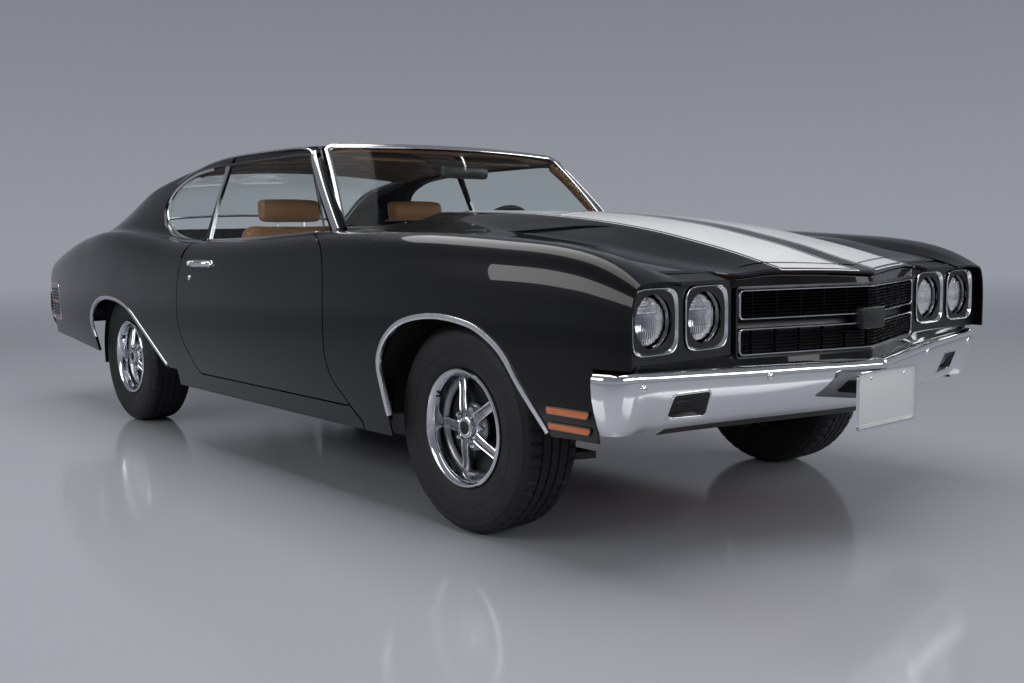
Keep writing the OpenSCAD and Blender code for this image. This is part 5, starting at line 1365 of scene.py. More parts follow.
def bar_face_s(x, z, table="front_bar", face=FRONT_FACE):
    """The station of the front bar's face at a place across and a height."""
    f = soft_face(face)
    share = (z - at(table, abs(x), 3)) / (at(table, abs(x), 2) - at(table, abs(x), 3))
    f = sorted(f, key=lambda p: p[1])
    return at(table, abs(x), 1) + float(np.interp(share, [p[1] for p in f], [p[0] for p in f]))

# %% [markdown]
# The parking lamps sit in holes through the bar: a lens a little way in, a
# bright rim round it. Domed bolt heads hold the bar to its irons.

# %% Parking lamps, bolts and number plates
for s in (1, -1):
    rim = rounded([(s * x, z) for x, z in grown(PARK, 1)], 15, 6)
    path = [pt(x, bar_face_s(x, z) + 1.0, z) for x, z in rim]
    ring = sweep("park_rim", path, Vector((0, -1, 0)), [(-9, -3), (2, -3), (3, 0), (2, 3), (-9, 3)], bright, closed=True)
    flat = [(x, z) for x, z in rounded([(s * x, z) for x, z in grown(PARK, -1)], 14, 6)]
    cols = 18
    lens_rows = []
    for k in range(15):
        row = []
        for j in range(cols + 1):
            x = mix(min(p[0] for p in flat), max(p[0] for p in flat), j / cols)
            zs = [p[1] for p in flat]
            z = mix(min(zs), max(zs), k / 14)
            dome = 5 * (1 - (2 * k / 14 - 1) ** 2) * (1 - (2 * j / cols - 1) ** 4) + (1.2 if k % 2 else 0)
            row.append(pt(x, bar_face_s(x, z) + 17 - dome, z))
        lens_rows.append(row)
    lens = skin("park_lens", lens_rows, smoke_lens)
    cup = [[pt(mix(s * 678, x, q), bar_face_s(x, z) + mix(46, 3, q ** 0.4), z if q == 1 else mix(472, z, q)) for x, z in flat] for q in (0.0, 0.5, 0.94, 1.0)]
    cup = skin("park_cup", cup, lamp_black, wrap=True)
    place([join("parking_lamp_" + ("left" if s > 0 else "right"), [ring, lens, cup])], slot="bright_trim")

def bolt_at(name, x, z, table, face, way):
    s = bar_face_s(x, z, table, face) if way < 0 else at(table, abs(x), 1) - 0
    head = lathe(name, [(0, 5.5), (5, 5), (9, 3.2), (11, 0.6), (11.4, -2), (0, -2)], chrome, 28, axis="Y")
    if way < 0:
        head.data.transform(Matrix.Rotation(math.pi, 4, "Z"))
    lean = Matrix.Rotation(math.radians(6 * way), 4, "X")
    head.data.transform(Matrix.Translation(pt(x, s, z)) @ lean)
    return head
bolts = [bolt_at("bolt", x, 532, "front_bar", FRONT_FACE, -1) for x in (-845, -420, 420, 845)]
bolts += [bolt_at("bolt", x, 600, "rear_bar", REAR_FACE, 1) for x in (-760, -330, 330, 760)]
place(join("bumper_bolts", bolts), slot="bright_trim")

def number_plate(name, x, s, z, way, tilt=0.0):
    w, h = 154, 78
    outline = rounded([(-w, -h), (w, -h), (w, h), (-w, h)], 14, 6)
    place_at = lambda u, v, t: pt(x + u, s + way * t, z + v)
    plate = outline_plate("plate", outline, 1.4, place_at, plate_white, 0.4)
    rim = sweep("rim", [place_at(u, v, 1.6) for u, v in grown(outline, 3)], Vector((0, way, 0)),
                [(-3, -4), (2.4, -4), (3.4, -2), (3, 3), (-3, 3)], chrome, closed=True)
    bossed = sweep("boss", [place_at(u, v, 1.2) for u, v in rounded([(-w + 9, -h + 9), (w - 9, -h + 9), (w - 9, h - 9), (-w + 9, h - 9)], 12, 6)],
                   Vector((0, way, 0)), half_round(3, 0.9, 5), plate_white, closed=True)
    heads = []
    for u in (-89, 89):
        head = lathe("screw", [(0, 3.6), (3.5, 3.2), (5.6, 1.6), (6, 0), (0, 0)], bright, 16, axis="Y", face=way)
        head.data.transform(Matrix.Translation(place_at(u, h - 14, 1)))
        heads.append(head)
    back = outline_plate("back", rounded([(-110, -34), (110, -34), (110, 34), (-110, 34)], 8, 3), 9,
                         lambda u, v, t: pt(x + u, s - way * t - way * 0.5, z + v), satin_black, 1)
    ob = join(name, [plate, rim, bossed, back] + heads)
    place(ob, slot="bright_trim")
    return ob
number_plate("front_plate", 0, -938, 440, -1)
number_plate("rear_plate", 0, 4074, 540, 1)

# %% [markdown]
# ## The face
# Each headlamp is a fluted glass lens in a bright bezel: square with rounded
# corners outside, round inside, hollowed like a dish between.

# %% Headlamps
lamp_dish = film_on(finish("lamp_dish", (0.26, 0.27, 0.29), 0.06, 1.0), 0.04, 0.10, 18.0)
def bezel(x, z, s0):
    rows = []
    n = 96
    for depth, half, power, r in [(0, 88, 5.0, None), (-3, 87.4, 5.0, None), (-4, 86, 5.0, None), (-2.6, 84.5, 5.0, None),
                                  (6, 81, 3.6, None), (15, 77.5, 2.6, None), (19, 75, 2.1, None),
                                  (17.4, 73.6, 2, None), (19, 72, 2, None), (34, 70.5, 2, None)]:
        row = []
        for k in range(n):
            a = 2 * math.pi * k / n
            c, q = math.cos(a), math.sin(a)
            g = (abs(c) ** power + abs(q) ** power) ** (-1 / power)
            row.append(pt(x + half * g * c, s0 + depth, z + half * g * q))
        rows.append(row)
    return join("bezel", [tidy(skin("edge", rows[:5], chrome, wrap=True), 0),
                          tidy(skin("dish", rows[4:], lamp_dish, wrap=True), 0)])

def lamp_lens(x, z, s0, r=69.5):
    rows = []
    rings, n = 26, 120
    for i in range(rings + 1):
        q = max(0.02, i / rings)
        row = []
        for k in range(n):
            a = 2 * math.pi * k / n
            u, v = r * q * math.cos(a), r * q * math.sin(a)
            dome = 11 * (1 - q * q)
            flute = 0.55 * math.cos(u * 2 * math.pi / 7.5) * (1 if abs(v) < 44 else 0.4)
            bars = 0.8 if abs(abs(v) - 22) < 1.5 or abs(abs(v) - 44) < 1.5 else 0
            row.append(pt(x + u, s0 - dome - (flute + bars) * (1 if q < 0.93 else 0), z + v))
        rows.append(row)
    return skin("lens", rows, lens_glass, wrap=True)

def reflector_bowl(x, z, s0):
    rows = [[pt(x + r * math.cos(2 * math.pi * k / 64), s0 + d, z + r * math.sin(2 * math.pi * k / 64)) for k in range(64)]
            for r, d in [(70, 3), (66, 14), (58, 27), (46, 38), (30, 46), (16, 50), (15, 44), (1, 43)]]
    return skin("bowl", rows, reflector, wrap=True)

lamps = []
for s in (1, -1):
    for x in (587, 792):
        lamps.append(join("headlamp_%s_%d" % ("left" if s > 0 else "right", x),
                          [bezel(s * x, 699, -746), lamp_lens(s * x, 699, -724), reflector_bowl(s * x, 699, -722)]))
place(lamps, slot="clear_glass", replaces=["headlamps"])
panels = []
for s in (1, -1):
    face = across_y([(s * 478, 578), (s * 884, 590), (s * 880, 700), (s * 850, 792), (s * 700, 800), (s * 478, 796)],
                    -742, -736, satin_black)
    holes = []
    for x in (587, 792):
        tool = lathe("hole", [(0, -60), (71, -60), (71, 60), (0, 60)], satin_black, 64, axis="Y")
        tool.data.transform(Matrix.Translation(pt(s * x, -739, 699)))
        holes.append(tool)
    panels.append(cut(face, *holes))
panels.append(across_y(rounded([(-476, 562), (476, 562), (476, 788), (-476, 788)], 12, 4), -716, -708, satin_black))
place(join("lamp_panels", panels), slot="black_plastic")

# %% [markdown]
# The grille is two stacked boxes of fine level bars. Each box has a thin bright
# frame with rounded corners, and a double bright bar runs between them.

# %% Grille
def grille_s(x):
    return -884 + 137 * abs(x) / 466

def follow(xz, out=0.0):
    return [pt(x, grille_s(x) - out, z) for x, z in xz]

def frame_ring(z0, z1, half, r):
    ring = rounded([(-half, z0), (half, z0), (half, z1), (-half, z1)], r, 7)
    fine = []
    for a, b in zip(ring, ring[1:] + ring[:1]):
        steps = max(1, round(math.dist(a, b) / 12))
        fine += [(mix(a[0], b[0], k / steps), mix(a[1], b[1], k / steps)) for k in range(steps)]
    return fine

grille_parts = []
back_rows = [[pt(x, grille_s(x) + 30, z) for x in spread(-464, 464, 40)] for z in (578, 774)]
back_rows += [[pt(x, grille_s(x) + 44, z) for x in spread(-464, 464, 40)] for z in (774, 578)]
grille_parts.append(tidy(skin("back", back_rows + back_rows[:1], satin_black), 0))
for z0, z1 in ((589, 655), (688, 762)):
    n = int((z1 - z0) / 9.6)
    for k in range(1, n + 1):
        z = mix(z0, z1, k / (n + 1))
        grille_parts.append(sweep("bar", follow([(x, z) for x in spread(-452, 452, 48)], -4), Vector((0, -1, 0)),
                                  [(-20, -1.0), (4, -1.0), (5.6, 0), (4, 1.0), (-20, 1.0)], satin_black))
    for x in spread(-400, 400, 10):
        grille_parts.append(sweep("post", [pt(x, grille_s(x) + 10, z) for z in spread(z0, z1, 6)], Vector((0, -1, 0)),
                                  [(-12, -1.1), (0, -1.1), (0, 1.1), (-12, 1.1)], satin_black))
surround = frame_ring(578, 773, 463, 10)
grille_parts.append(sweep("surround", follow(surround, -2), Vector((0, -1, 0)),
                          [(-24, -4), (4, -4), (6, -1), (5, 4), (-24, 4)], satin_black, closed=True))
bars = []
for z0, z1 in ((586, 657), (686, 765)):
    bars.append(sweep("frame", follow(frame_ring(z0, z1, 455, 13), 0), Vector((0, -1, 0)),
                      [(-12, -2.6), (4, -2.6), (6.2, -1.2), (6.2, 1.2), (4, 2.6), (-12, 2.6)], bright, closed=True))
block = across_y(rounded([(-58, 640), (58, 640), (58, 703), (-58, 703)], 10, 4), -893, -850, satin_black)
grille_parts.append(softened(block, 2.5))
place(join("grille_bars", grille_parts), slot="black_plastic", replaces=["grille"])
place(join("grille_frames", bars), slot="bright_trim")

# %% [markdown]
# Below the hood's front edge a black valance closes the face down to the
# bumper, and another panel hangs behind the bumper.

# %% Valance and hood lip
def strip(name, xs, top, foot, mat, depth=3):
    """A sheet across the car between two lines of (s, z), by x."""
    outer = [[pt(x, *top(x)) for x in xs], [pt(x, *foot(x)) for x in xs]]
    outer = [[a.lerp(b, q) for a, b in zip(*outer)] for q in spread(0, 1, 8)]
    inner = [[p + Vector((0, depth / 1000, 0)) for p in row] for row in outer]
    return sheet(name, outer, inner, mat)
xs = spread(-482, 482, 60)
def lip_s(x):
    return hood_front(abs(x)) + 8
header = strip("header", xs, lambda x: (lip_s(x), hood_z(abs(x), hood_front(abs(x))) - 14),
               lambda x: (grille_s(x) - 1, 774), paint, 5)
filler = strip("filler", spread(-862, 862, 100), lambda x: (min(-745, grille_s(x) - 3), 577 if abs(x) < 470 else 588),
               lambda x: (at("front_bar", abs(x), 1) + 50, 548), paint, 5)
place([header, filler])
xs = spread(-700, 700, 80)
lower = strip("valance", xs, lambda x: (at("front_bar", min(880, abs(x)), 1) + 40, 425),
              lambda x: (at("front_bar", min(880, abs(x)), 1) + 110, 382), satin_black)
place(lower, slot="body_paint")

# %% Tail lamps and rear panel
TAIL = [(470, 570), (742, 566), (742, 628), (470, 628)]
tail_parts = []
for s in (1, -1):
    x0, x1, z0, z1 = 430, 768, 655, 792
    ring = rounded([(s * x0, z0), (s * x1, z0 + 6), (s * (x1 - 12), z1), (s * x0, z1)], 18, 6)
    place_at = lambda x, z, t=0: pt(x, 4004 + t, z)
    tail_parts.append(sweep("tail_rim", [place_at(x, z, 3) for x, z in ring], Vector((0, 1, 0)),
                            [(-4, -6), (5, -6), (8, -2), (7, 4), (2, 7), (-4, 7)], bright, closed=True))
    inner_ring = grown(ring, -6)
    lens = across_y(inner_ring, 4002, 4009, red)
    tail_parts.append(softened(lens, 2))
    for k in (1, 2):
        xm = mix(x0, x1, k / 3) * s
        tail_parts.append(sweep("split", [place_at(xm, z, 9) for z in spread(z0 + 7, z1 - 7, 6)], Vector((0, 1, 0)),
                                half_round(7, 3.5, 6), bright))
    for k in range(9):
        z = mix(z0 + 12, z1 - 12, k / 8)
        tail_parts.append(sweep("rib", [place_at(s * x, z, 8.5) for x in spread(x0 + 10, x1 - 14, 8)], Vector((0, 1, 0)),
                                half_round(5, 1.8, 5), red))
panel = across_y(rounded([(-418, 655), (418, 655), (418, 792), (-418, 792)], 12, 5), 4002, 4008, satin_black)
tail_parts.append(softened(panel, 1.5))
panel_ring = [pt(x, 4008, z) for x, z in rounded([(-418, 655), (418, 655), (418, 792), (-418, 792)], 12, 5)]
tail_parts.append(sweep("panel_rim", panel_ring, Vector((0, 1, 0)), half_round(6, 3.4, 6), bright, closed=True))
place(join("tail_lamps", tail_parts), slot="bright_trim")
print("face and tail done")

# %% [markdown]
# ## Tyres and wheels
# A tyre is one outline turned about the axle. Its tread is cut by lowering the
# radius where grooves run round it and, at every fifth step, across it.

# %% Tyre
WHEELS = {"front_left": (762, 0, 1), "front_right": (-762, 0, -1),
          "rear_left": (759.5, 2845, 1), "rear_right": (-759.5, 2845, -1)}

def tyre_outline():
    """(radius, across, kind): kind 1 is a shoulder block, 2 a centre rib, 0 plain."""
    half = [(186, 80, 0), (189, 88, 0), (196, 94, 0), (210, 98.5, 0), (228, 102, 0), (238, 103.6, 0),
            (240, 105.6, 0), (244, 105.9, 0), (246, 104.8, 0), (262, 107, 0), (275, 107.4, 0),
            (288, 106.4, 0), (298, 104, 0), (300, 105, 0), (304, 104, 0), (306, 101.5, 0),
            (314, 97, 1), (322, 90.5, 1), (328, 82.5, 1), (331, 74, 1), (332.4, 64, 1), (332.8, 55, 1),
            (326, 53.5, 0), (326, 48.5, 0), (333, 47, 2), (333, 33, 2), (333, 20.5, 2),
            (326, 19, 0), (326, 14, 0), (333, 12.5, 2), (333, 4, 2)]
    return half + [(r, -a, k) for r, a, k in reversed(half)] + [(184, -70, 0), (184, 70, 0)]

def turned(name, place_at, mats, steps, outline, radius):
    """Turns an outline; radius(point, step) may lower a point at a step."""
    rows = []
    for k in range(steps):
        a = 2 * math.pi * k / steps
        rows.append([(x / 1000, radius((r, x, c), k) * math.cos(a) / 1000, radius((r, x, c), k) * math.sin(a) / 1000)
                     for r, x, c in outline])
    rows.append(rows[0])
    return rows

def tyre_mesh():
    outline = tyre_outline()
    def radius(p, k):
        r, x, c = p
        shift = 0 if x > 0 else 3
        if c == 1 and (k + shift) % 5 == 0:
            return r - (6 if r > 325 else 2.5)
        if c == 2 and (k + shift + int(abs(x) / 12)) % 5 == 0:
            return r - 3.5
        return r
    ob = skin("tyre", turned("tyre", None, None, 260, outline, radius), rubber, wrap=True)
    return crisp(tidy(ob, 1e-6), 24)

# %% [markdown]
# The wheel is a deep bright barrel behind a wide trim ring. Five narrow ribbed
# spokes stand well inside it before black windows, round a hub with a tall cap.

# %% Wheel
def barrel():
    line = [(186.5, -96), (187.6, -90), (186, -80), (176, -72), (172, -30), (171, 50), (178, 74),
            (186.5, 80), (187.6, 90), (187.4, 96), (184, 99.5), (179, 99.8), (172, 95), (166, 86),
            (163.5, 78), (162.5, 70), (161, 66), (160, 40), (158, 30), (157, 24), (157, -50),
            (166, -82), (176, -96)]
    return lathe("barrel", line, rim_metal, 96, angle=36)

def at_turn(ob, k, n=5, offset=0.0):
    ob.data.transform(Matrix.Rotation(2 * math.pi * k / n + offset, 4, "X"))
    return ob

def wheel_mesh(face):
    parts = [barrel()]
    parts.append(lathe("dish", [(157.5, 33), (157.5, 26), (148, 24), (60, 20), (24, 20), (24, 16),
                                (60, 14), (150, 18), (158, 22)], wheel_black, 72))
    parts.append(lathe("band", [(158.5, 46), (155, 46.5), (146, 40), (143, 34), (146, 30), (158, 28)], spoke_metal, 72))
    for k in range(5):
        arm = [Vector((mix(62, 41, ease(q)) / 1000, 0, mix(48, 152, q) / 1000)) for q in spread(0, 1, 12)]
        wide = [(0, -19), (7, -18), (9, -13), (3, -9), (2, 0), (3, 9), (9, 13), (7, 18), (0, 19), (-14, 15), (-14, -15)]
        spoke = sweep("spoke", arm, Vector((1, 0, 0)), wide, spoke_metal, scale=lambda t: mix(0.98, 0.86, t))
        parts.append(at_turn(spoke, k))
        for s in (-1, 1):
            rail = [p + Vector((0.0085, s * mix(0.0152, 0.0134, q / 12), 0)) for q, p in enumerate(arm)]
            parts.append(at_turn(sweep("rail", rail, Vector((1, 0, 0)), [(-3, -3), (1.5, -2.4), (3, 0), (1.5, 2.4), (-3, 3)], bright), k))
        nut = lathe("nut", [(0, 76), (5.5, 75), (8.6, 70), (10.4, 64), (11, 56), (0, 56)], bright, 6, (0, 0, 0), angle=40)
        nut.data.transform(Matrix.Translation((0, 0, 0.0603)))
        parts.append(at_turn(nut, k, offset=math.pi / 5))
    parts.append(lathe("hub", [(0, 60), (74, 58), (78, 52), (76, 40), (60, 34), (0, 34)], spoke_metal, 64))
    parts.append(lathe("cap", [(0, 84), (20, 83.5), (25, 82), (27, 79), (28, 81.5), (31, 82.5), (34, 81), (35, 76),
                               (36.5, 66), (41, 62), (43, 58), (0, 57)], bright, 56, angle=25))
    parts.append(lathe("cap_disc", [(0, 86), (17, 85.4), (21, 84.2), (22, 82), (0, 82)], lamp_black, 48))
    parts.append(lathe("brake", [(24, -14), (138, -14), (139, -18), (139, -36), (138, -40), (24, -40)], cast_iron, 64))
    stem = lathe("valve", [(0, 96), (3, 95), (3.4, 84), (4.5, 82), (4.5, 70), (0, 70)], rubber, 12)
    stem.data.transform(Matrix.Translation((0, 0, 0.156)))
    parts.append(at_turn(stem, 0, offset=0.63))
    return join("wheel", parts)

base_tyre, base_wheel = tyre_mesh(), wheel_mesh(1)
for name, (x, s, face) in WHEELS.items():
    turn = Matrix.Rotation(0 if face > 0 else math.pi, 4, "Z")
    turn = Matrix.Translation(pt(x, s, 333)) @ turn @ Matrix.Rotation(0.35, 4, "X")
    for base, kind, slot in ((base_tyre, "tyre_", "tyre_rubber"), (base_wheel, "wheel_", "wheel_metal")):
        me = base.data.copy()
        me.transform(turn)
        ob = bpy.data.objects.new(kind + name + "_shown", me)
        scene.collection.objects.link(ob)
        place(ob, "road_wheel_" + name, slot, [kind + name])
print("triangles in a tyre:", 2 * len(base_tyre.data.polygons), "wheel:", 2 * len(base_wheel.data.polygons))
bpy.data.objects.remove(base_tyre)
bpy.data.objects.remove(base_wheel)

# %% [markdown]
# ## The cabin
# Padded pieces start as a closed block with the cushion's outline. Inflated as
# cloth, with no point let move more than a little way, a block becomes a
# cushion: full in the middle and drawn in where it is sewn. The seams follow on top.

# %% Cushions
def cushion_block(name, profile, x0, x1, mat, r=30, across=16):
    """A block across the car whose side outline has rounded corners."""
    ring = rounded(profile, r, 6)
    fine = []
    for a, b in zip(ring, ring[1:] + ring[:1]):
        k = max(1, round(math.dist(a, b) / 26))
        fine += [(mix(a[0], b[0], j / k), mix(a[1], b[1], j / k)) for j in range(k)]
    mid = (sum(p[0] for p in fine) / len(fine), sum(p[1] for p in fine) / len(fine))
    rows = []
    for j in range(across + 1):
        q = j / across
        side = 1 - abs(2 * q - 1)
        pull = 1 - 0.10 * max(0.0, 1 - side * 5) ** 2
        rows.append([pt(mix(x0, x1, q), mid[0] + (s - mid[0]) * pull, mid[1] + (z - mid[1]) * pull) for s, z in fine])
    n = len(fine)
    verts = [p for row in rows for p in row]
    faces = grid_faces(len(rows), n, 0, True)
    for row, flip in ((0, True), (len(rows) - 1, False)):
        c = len(verts)
        verts.append(pt(mix(x0, x1, row / across), *mid))
        for k in range(n):
            f = (row * n + k, row * n + (k + 1) % n, c)
            faces.append(f[::-1] if flip else f)
    return tidy(make(name, verts, faces, mat), 0)

def puff(ob, size=0.006, pressure=4.0, limit=0.012):
    """Inflates a padded piece as cloth and settles it into its shape."""
    m = ob.modifiers.new("voxels", "REMESH")
    m.mode, m.voxel_size = "VOXEL", size
    baked(ob)
    start = [v.co.copy() for v in ob.data.vertices]
    cloth = ob.modifiers.new("cloth", "CLOTH")
    cloth.settings.use_pressure = True
    cloth.settings.uniform_pressure_force = pressure
    cloth.settings.effector_weights.gravity = 0
    cloth.settings.quality = 4
    cloth.point_cache.frame_start, cloth.point_cache.frame_end = 1, 20
    for f in range(1, 21):
        scene.frame_set(f)
    baked(ob)
    for v, a in zip(ob.data.vertices, start):
        d = v.co - a
        if d.length > limit:
            v.co = a + d * (limit / d.length)
    scene.frame_set(1)
    for p in ob.data.polygons:
        p.use_smooth = True
    m = ob.modifiers.new("smooth", "SMOOTH")
    m.factor, m.iterations = 0.5, 3
    baked(ob)
    m = ob.modifiers.new("round", "DECIMATE")
    m.ratio = 0.35
    baked(ob)
    return ob

def pleats(ob, x0, x1, n, test, depth=0.004):
    """Draws soft channels along the faces that a person sits against."""
    me = ob.data
    for v in me.vertices:
        if test(v.co, v.normal):
            t = (v.co.x * 1000 - x0) / (x1 - x0)
            if 0 < t < 1:
                g = abs(math.sin(math.pi * t * n))
                v.co -= v.normal * depth * (1 - g ** 0.5) * min(1, t * 12, (1 - t) * 12)
    return ob

def seam(path, normal, r=2.6):
    return sweep("seam", path, normal, round_bar(r, 8), seam_thread)

# %% Front seats
FRONT_BASE = [(1300, 440), (1292, 520), (1320, 562), (1745, 524), (1752, 445)]
FRONT_BACK = [(1752, 470), (1770, 520), (1925, 998), (1990, 998), (2008, 955), (1872, 450)]
for side, sg in (("left", 1), ("right", -1)):
    x0, x1 = sg * 365 - 258, sg * 365 + 258
    base = cushion_block("front_seat_%s_base" % side, FRONT_BASE, x0, x1, leather, 34)
    back = cushion_block("front_seat_%s_back" % side, FRONT_BACK, x0, x1, leather, 40)
    rest = cushion_block("front_seat_%s_rest" % side, [(1948, 1008), (1950, 1112), (2032, 1118), (2020, 1010)], sg * 365 - 150, sg * 365 + 150, leather, 36)
    for piece in (base, back, rest):
        puff(piece)
    pleats(base, x0 + 60, x1 - 60, 8, lambda c, n: n.z > 0.5)
    pleats(back, x0 + 60, x1 - 60, 8, lambda c, n: n.y < -0.5 and c.z < 0.93)
    place([base, back, rest], "root", "tan_hide", ["front_seats"] if sg > 0 else [])
    posts = []
    for dx in (-70, 70):
        posts.append(sweep("post", [pt(sg * 365 + dx, 1975, 985), pt(sg * 365 + dx, 1982, 1030)], Vector((1, 0, 0)), round_bar(6, 12), bright))
    for x in (x0 + 60, x1 - 60):
        posts.append(seam([pt(x, mix(1312, 1735, q), mix(568, 531, q)) for q in spread(0, 1, 20)], Vector((0, 0, 1))))
    posts.append(softened(prism([(1360, 302), (1400, 445), (1850, 445), (1830, 302)], sg * 365 - 180, sg * 365 + 180), 6))
    posts[-1].data.materials.append(satin_black)
    place(join("front_seat_%s_mount" % side, posts), slot="frame_black")

# %% Rear seat
rear_base = cushion_block("rear_seat_base", [(2070, 446), (2062, 520), (2090, 566), (2440, 556), (2450, 450)], -558, 558, leather, 30, 26)
rear_back = cushion_block("rear_seat_back", [(2420, 540), (2440, 566), (2560, 922), (2648, 922), (2608, 548)], -558, 558, leather, 34, 26)
for piece in (rear_base, rear_back):
    puff(piece, 0.008)
pleats(rear_base, -500, 500, 14, lambda c, n: n.z > 0.5)
pleats(rear_back, -500, 500, 14, lambda c, n: n.y < -0.5)
place([rear_base, rear_back], slot="tan_hide", replaces=["rear_seat"])

# %% [markdown]
# The dash is one padded roll over a flat face with a black instrument panel in
# front of the driver.

# %% Dash
DASH = [(945, 700), (945, 925), (1000, 956), (1118, 941), (1150, 902), (1120, 720), (1040, 660)]
dash = cushion_block("dash_pad", DASH, -690, 690, tan_trim, 22, 30)
dials = []
cluster = outline_plate("cluster", rounded([(-190, -48), (190, -48), (190, 48), (-190, 48)], 20, 5), 10,
                        lambda u, v, w: pt(372 + u, 1141 - 0.16 * (v - 40) * -1 + w * 0.98, 848 + v), satin_black, 3)
dials.append(cluster)
for u, r in ((-120, 40), (0, 34), (120, 40)):
    rim = lathe("dial_rim", [(r, 14), (r + 3, 15), (r + 5, 12), (r + 5, 0), (r, 0)], bright, 48, axis="Y")
    face = lathe("dial", [(0, 9), (r, 9), (r, 6), (0, 6)], dial_black, 48, axis="Y")
    for o in (rim, face):
        o.data.transform(Matrix.Translation(pt(372 + u, 1142, 848)))
        dials.append(o)
for k in range(4):
    knob = lathe("knob", [(0, 16), (6, 15.5), (8, 13), (8.5, 0), (0, 0)], bright, 24, axis="Y")
    knob.data.transform(Matrix.Translation(pt(-60 + k * 40, 1138, 800)))
    dials.append(knob)
glove = sweep("glove", [pt(x, 1146 - 0.1 * (860 - z), z) for x, z in rounded([(-560, 770), (-240, 770), (-240, 870), (-560, 870)], 14, 5)],
              Vector((0, 1, 0)), half_round(4, 2.5, 5), bright, closed=True)
dials.append(glove)
place(dash, slot="tan_plastic", replaces=["dashboard"])
place(join("dash_dials", dials), slot="black_plastic")

# %% Steering wheel
tilt = math.radians(24)
hub = pt(372, 1290, 890)
lie = Matrix.Translation(hub) @ Matrix.Rotation(tilt, 4, "X")
ring = [Vector((0.185 * math.cos(a), 0, 0.185 * math.sin(a))) for a in spread(0, 2 * math.pi, 96)[:-1]]
def grip_profile():
    return [(13 * math.cos(a), 13 * math.sin(a)) for a in spread(0, 2 * math.pi, 16)[:-1]]
rim = sweep("rim", ring, [Vector((0, 1, 0))] * len(ring), grip_profile(), satin_black, closed=True)
wheel_parts = [rim]
for a in (math.radians(-8), math.radians(188), math.radians(270)):
    arm = [Vector((math.cos(a) * r, mix(0.004, 0.0, r / 0.18) - 0.006, math.sin(a) * r)) for r in spread(0.03, 0.176, 10)]
    wheel_parts.append(sweep("arm", arm, Vector((0, 1, 0)), [(-3, -15), (2, -15), (4, -12), (4, 12), (2, 15), (-3, 15)], bright))
    for r in (0.07, 0.1, 0.13):
        hole = lathe("hole", [(0, 1.4), (6, 1.2), (6.6, 0), (0, 0)], satin_black, 20, axis="Y")
        hole.data.transform(Matrix.Translation((math.cos(a) * r, 0.0, math.sin(a) * r)))
        wheel_parts.append(hole)
wheel_parts.append(lathe("boss", [(0, 26), (20, 25), (30, 20), (44, 10), (48, -8), (40, -24), (0, -24)], satin_black, 48, axis="Y"))
wheel_parts.append(lathe("button", [(0, 30), (14, 29), (18, 26), (18, 20), (0, 20)], bright, 32, axis="Y"))
helm = join("helm", wheel_parts)
helm.data.transform(lie)
place(helm, "steering_wheel", "black_plastic", ["steering_wheel"])

# %% [markdown]
# Lining and trim close the cabin: headliner, pillar covers, door cards, carpet
# and the inside mirror.

# %% Headliner, carpet, mirror
def liner_at(v, u):
    x, s, z = roof_at(mix(0.03, 0.985, v), u)
    return x * 0.972, s, z
rows = [[pt(*liner_at(v, u)) - Vector((0, 0, 0.022)) for u in spread(-1, 1, 40)] for v in spread(0, 1, 40)]
low = [[p - Vector((0, 0, 0.006)) for p in row] for row in rows]
head = sheet("headliner_cloth", rows, low, headliner)
place(head, slot="tan_plastic")
bows = []
for v in spread(0.14, 0.9, 5):
    bows.append(sweep("bow", [pt(*liner_at(v, u)) - Vector((0, 0, 0.028)) for u in spread(-0.97, 0.97, 40)], Vector((0, 0, -1)), half_round(8, 3.5, 6), headliner))
for sg in (1, -1):
    edge = [pt(*liner_at(v, sg * 0.99)) - Vector((0, 0, 0.024)) for v in spread(0.02, 0.99, 40)]
    bows.append(sweep("edge", edge, Vector((0, 0, -1)), half_round(26, 10, 8), tan_trim))
front = [pt(*liner_at(0, u)) - Vector((0, 0, 0.02)) for u in spread(-0.98, 0.98, 40)]
bows.append(sweep("header", front, Vector((0, 0.2, -1)), half_round(34, 12, 8), tan_trim))
for x in (-300, 300):
    visor = outline_plate("visor", rounded([(-190, -60), (190, -60), (190, 60), (-190, 60)], 26, 6), 12,
                          lambda u, v, w: pt(x + u, 1262 + v * 0.98, 1278 + v * 0.28 - w), headliner, 4)
    bows.append(visor)
place(join("headliner_bows", bows), slot="tan_plastic")

glass_back = outline_plate("mirror_shell", rounded([(-128, -24), (128, -26), (128, 26), (-128, 24)], 22, 6), 14,
                           lambda u, v, w: pt(u, 1090 - w, 1202 + v), satin_black, 5)
glass_front = outline_plate("mirror_glass", rounded([(-121, -18), (121, -20), (121, 20), (-121, 18)], 18, 6), 1.2,
                            lambda u, v, w: pt(u, 1090 + w, 1202 + v), mirror_glass, 0.3)
stalk = sweep("stalk", smooth_path([pt(0, 1082, 1208), pt(0, 1076, 1230), pt(0, 1092, 1262), pt(0, 1112, 1278)], 14), Vector((1, 0, 0)), round_bar(6, 12), bright)
foot = lathe("foot", [(0, 6), (16, 5), (19, 0), (0, 0)], bright, 32, axis="Z", face=-1)
foot.data.transform(Matrix.Translation(pt(0, 1114, 1284)))
place(join("inside_mirror", [glass_back, glass_front, stalk, foot]), slot="bright_trim")

rug = []
for s0, s1, z in ((600, 2050, 303),):
    grid_top = [[pt(x, s, 446 + 3 if abs(x) < 150 else mix(449, z, ease((abs(x) - 150) / 60))) for x in spread(-700, 700, 70)] for s in spread(s0, s1, 40)]
    rug.append(skin("rug", grid_top, carpet))
place(join("carpet", rug), slot="tan_hide")

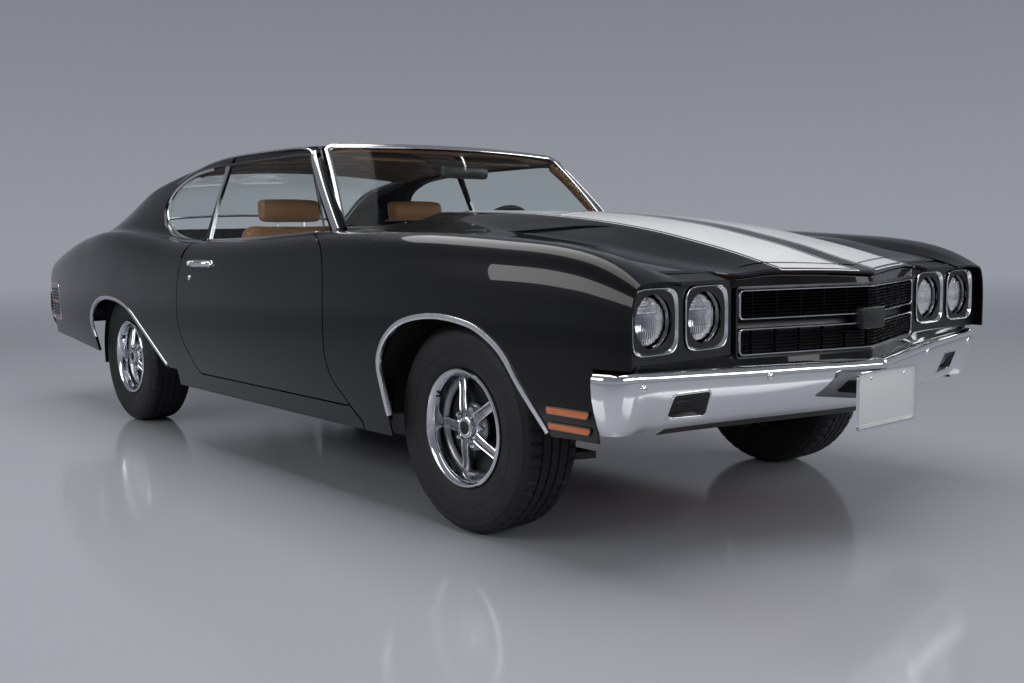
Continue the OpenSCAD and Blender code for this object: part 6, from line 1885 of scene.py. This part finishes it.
# %% Door cards
for side, sg in (("left", 1), ("right", -1)):
    line = rounded([(760, 420), (730, 560), (735, 850), (800, 905), (1930, 905), (1925, 560), (1880, 480), (1800, 420)], 24, 5)
    card = outline_plate("card", line, 12, lambda s, z, w: pt(sg * (764 - w), s, z), tan_trim, 3)
    arm = cushion_block("armrest", [(1150, 0), (1150, 40), (1640, 46), (1640, 0)], 0, 55, tan_trim, 14, 6)
    arm.data.transform(Matrix.Translation((sg * 0.697 - (0.055 if sg < 0 else 0) * 0, 0, 0.64)) if sg > 0 else Matrix.Translation((-0.752, 0, 0.64)))
    bits = [card, arm]
    for k in range(6):
        x = mix(900, 1800, k / 5)
        bits.append(sweep("pleat", [pt(sg * 751, x, z) for z in spread(700, 860, 10)], Vector((-sg, 0, 0)), half_round(6, 2.5, 5), tan_trim))
    bits.append(sweep("trim", [pt(sg * 751, s, z) for s, z in rounded([(780, 690), (1900, 690), (1900, 872), (780, 872)], 20, 5)], Vector((-sg, 0, 0)), half_round(6, 3, 6), bright, closed=True))
    crank = sweep("crank", [pt(sg * 742, 1240, 620), pt(sg * 738, 1290, 560)], Vector((-sg, 0, 0)), [(-3, -6), (3, -5), (3, 5), (-3, 6)], bright)
    bits.append(crank)
    place(join("door_card_" + side, bits), "door_" + side, "tan_plastic")
    qline = rounded([(1975, 420), (1975, 880), (2250, 900), (2420, 940), (2440, 600), (2100, 420)], 24, 5)
    qcard = outline_plate("quarter_card", qline, 10, lambda s, z, w: pt(sg * (752 - w), s, z), tan_trim, 3)
    place(join("quarter_trim_" + side, [qcard]), slot="tan_plastic")
print("cabin done")

# %% [markdown]
# ## Finishes on the frame's own pieces
# Pieces that are only seen through gaps, from below or behind glass keep the
# measured shape and get a finish of their own.

# %% Finishes by piece
FINISH = {"chassis_frame": frame_black, "floor_pan": frame_black, "cowl_panel": inner_black,
          "wheelhouses": frame_black, "rocker_panels": paint, "nose_panel": satin_black,
          "grille": satin_black, "rear_body_panels": paint, "front_suspension": frame_black,
          "rear_axle": frame_black, "engine": engine_orange, "exhaust": steel_pipe,
          "fuel_tank": tank_steel, "steering_column": satin_black, "knuckle_left": cast_iron,
          "knuckle_right": cast_iron, "dashboard": tan_trim, "front_seats": leather,
          "rear_seat": leather, "steering_wheel": satin_black, "headlamps": lens_glass,
          "windshield": clear, "rear_window": clear, "quarter_glasses": clear,
          "door_glass_left": clear, "door_glass_right": clear, "front_bumper": chrome,
          "rear_bumper": chrome}
for side in ("front_left", "front_right", "rear_left", "rear_right"):
    FINISH["tyre_" + side] = rubber
    FINISH["wheel_" + side] = rim_metal
for name, mat in FINISH.items():
    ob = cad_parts[name]
    for k in range(max(1, len(ob.data.materials))):
        if len(ob.data.materials) > k:
            ob.data.materials[k] = mat
        else:
            ob.data.materials.append(mat)
print("finished", len(FINISH), "frame pieces")
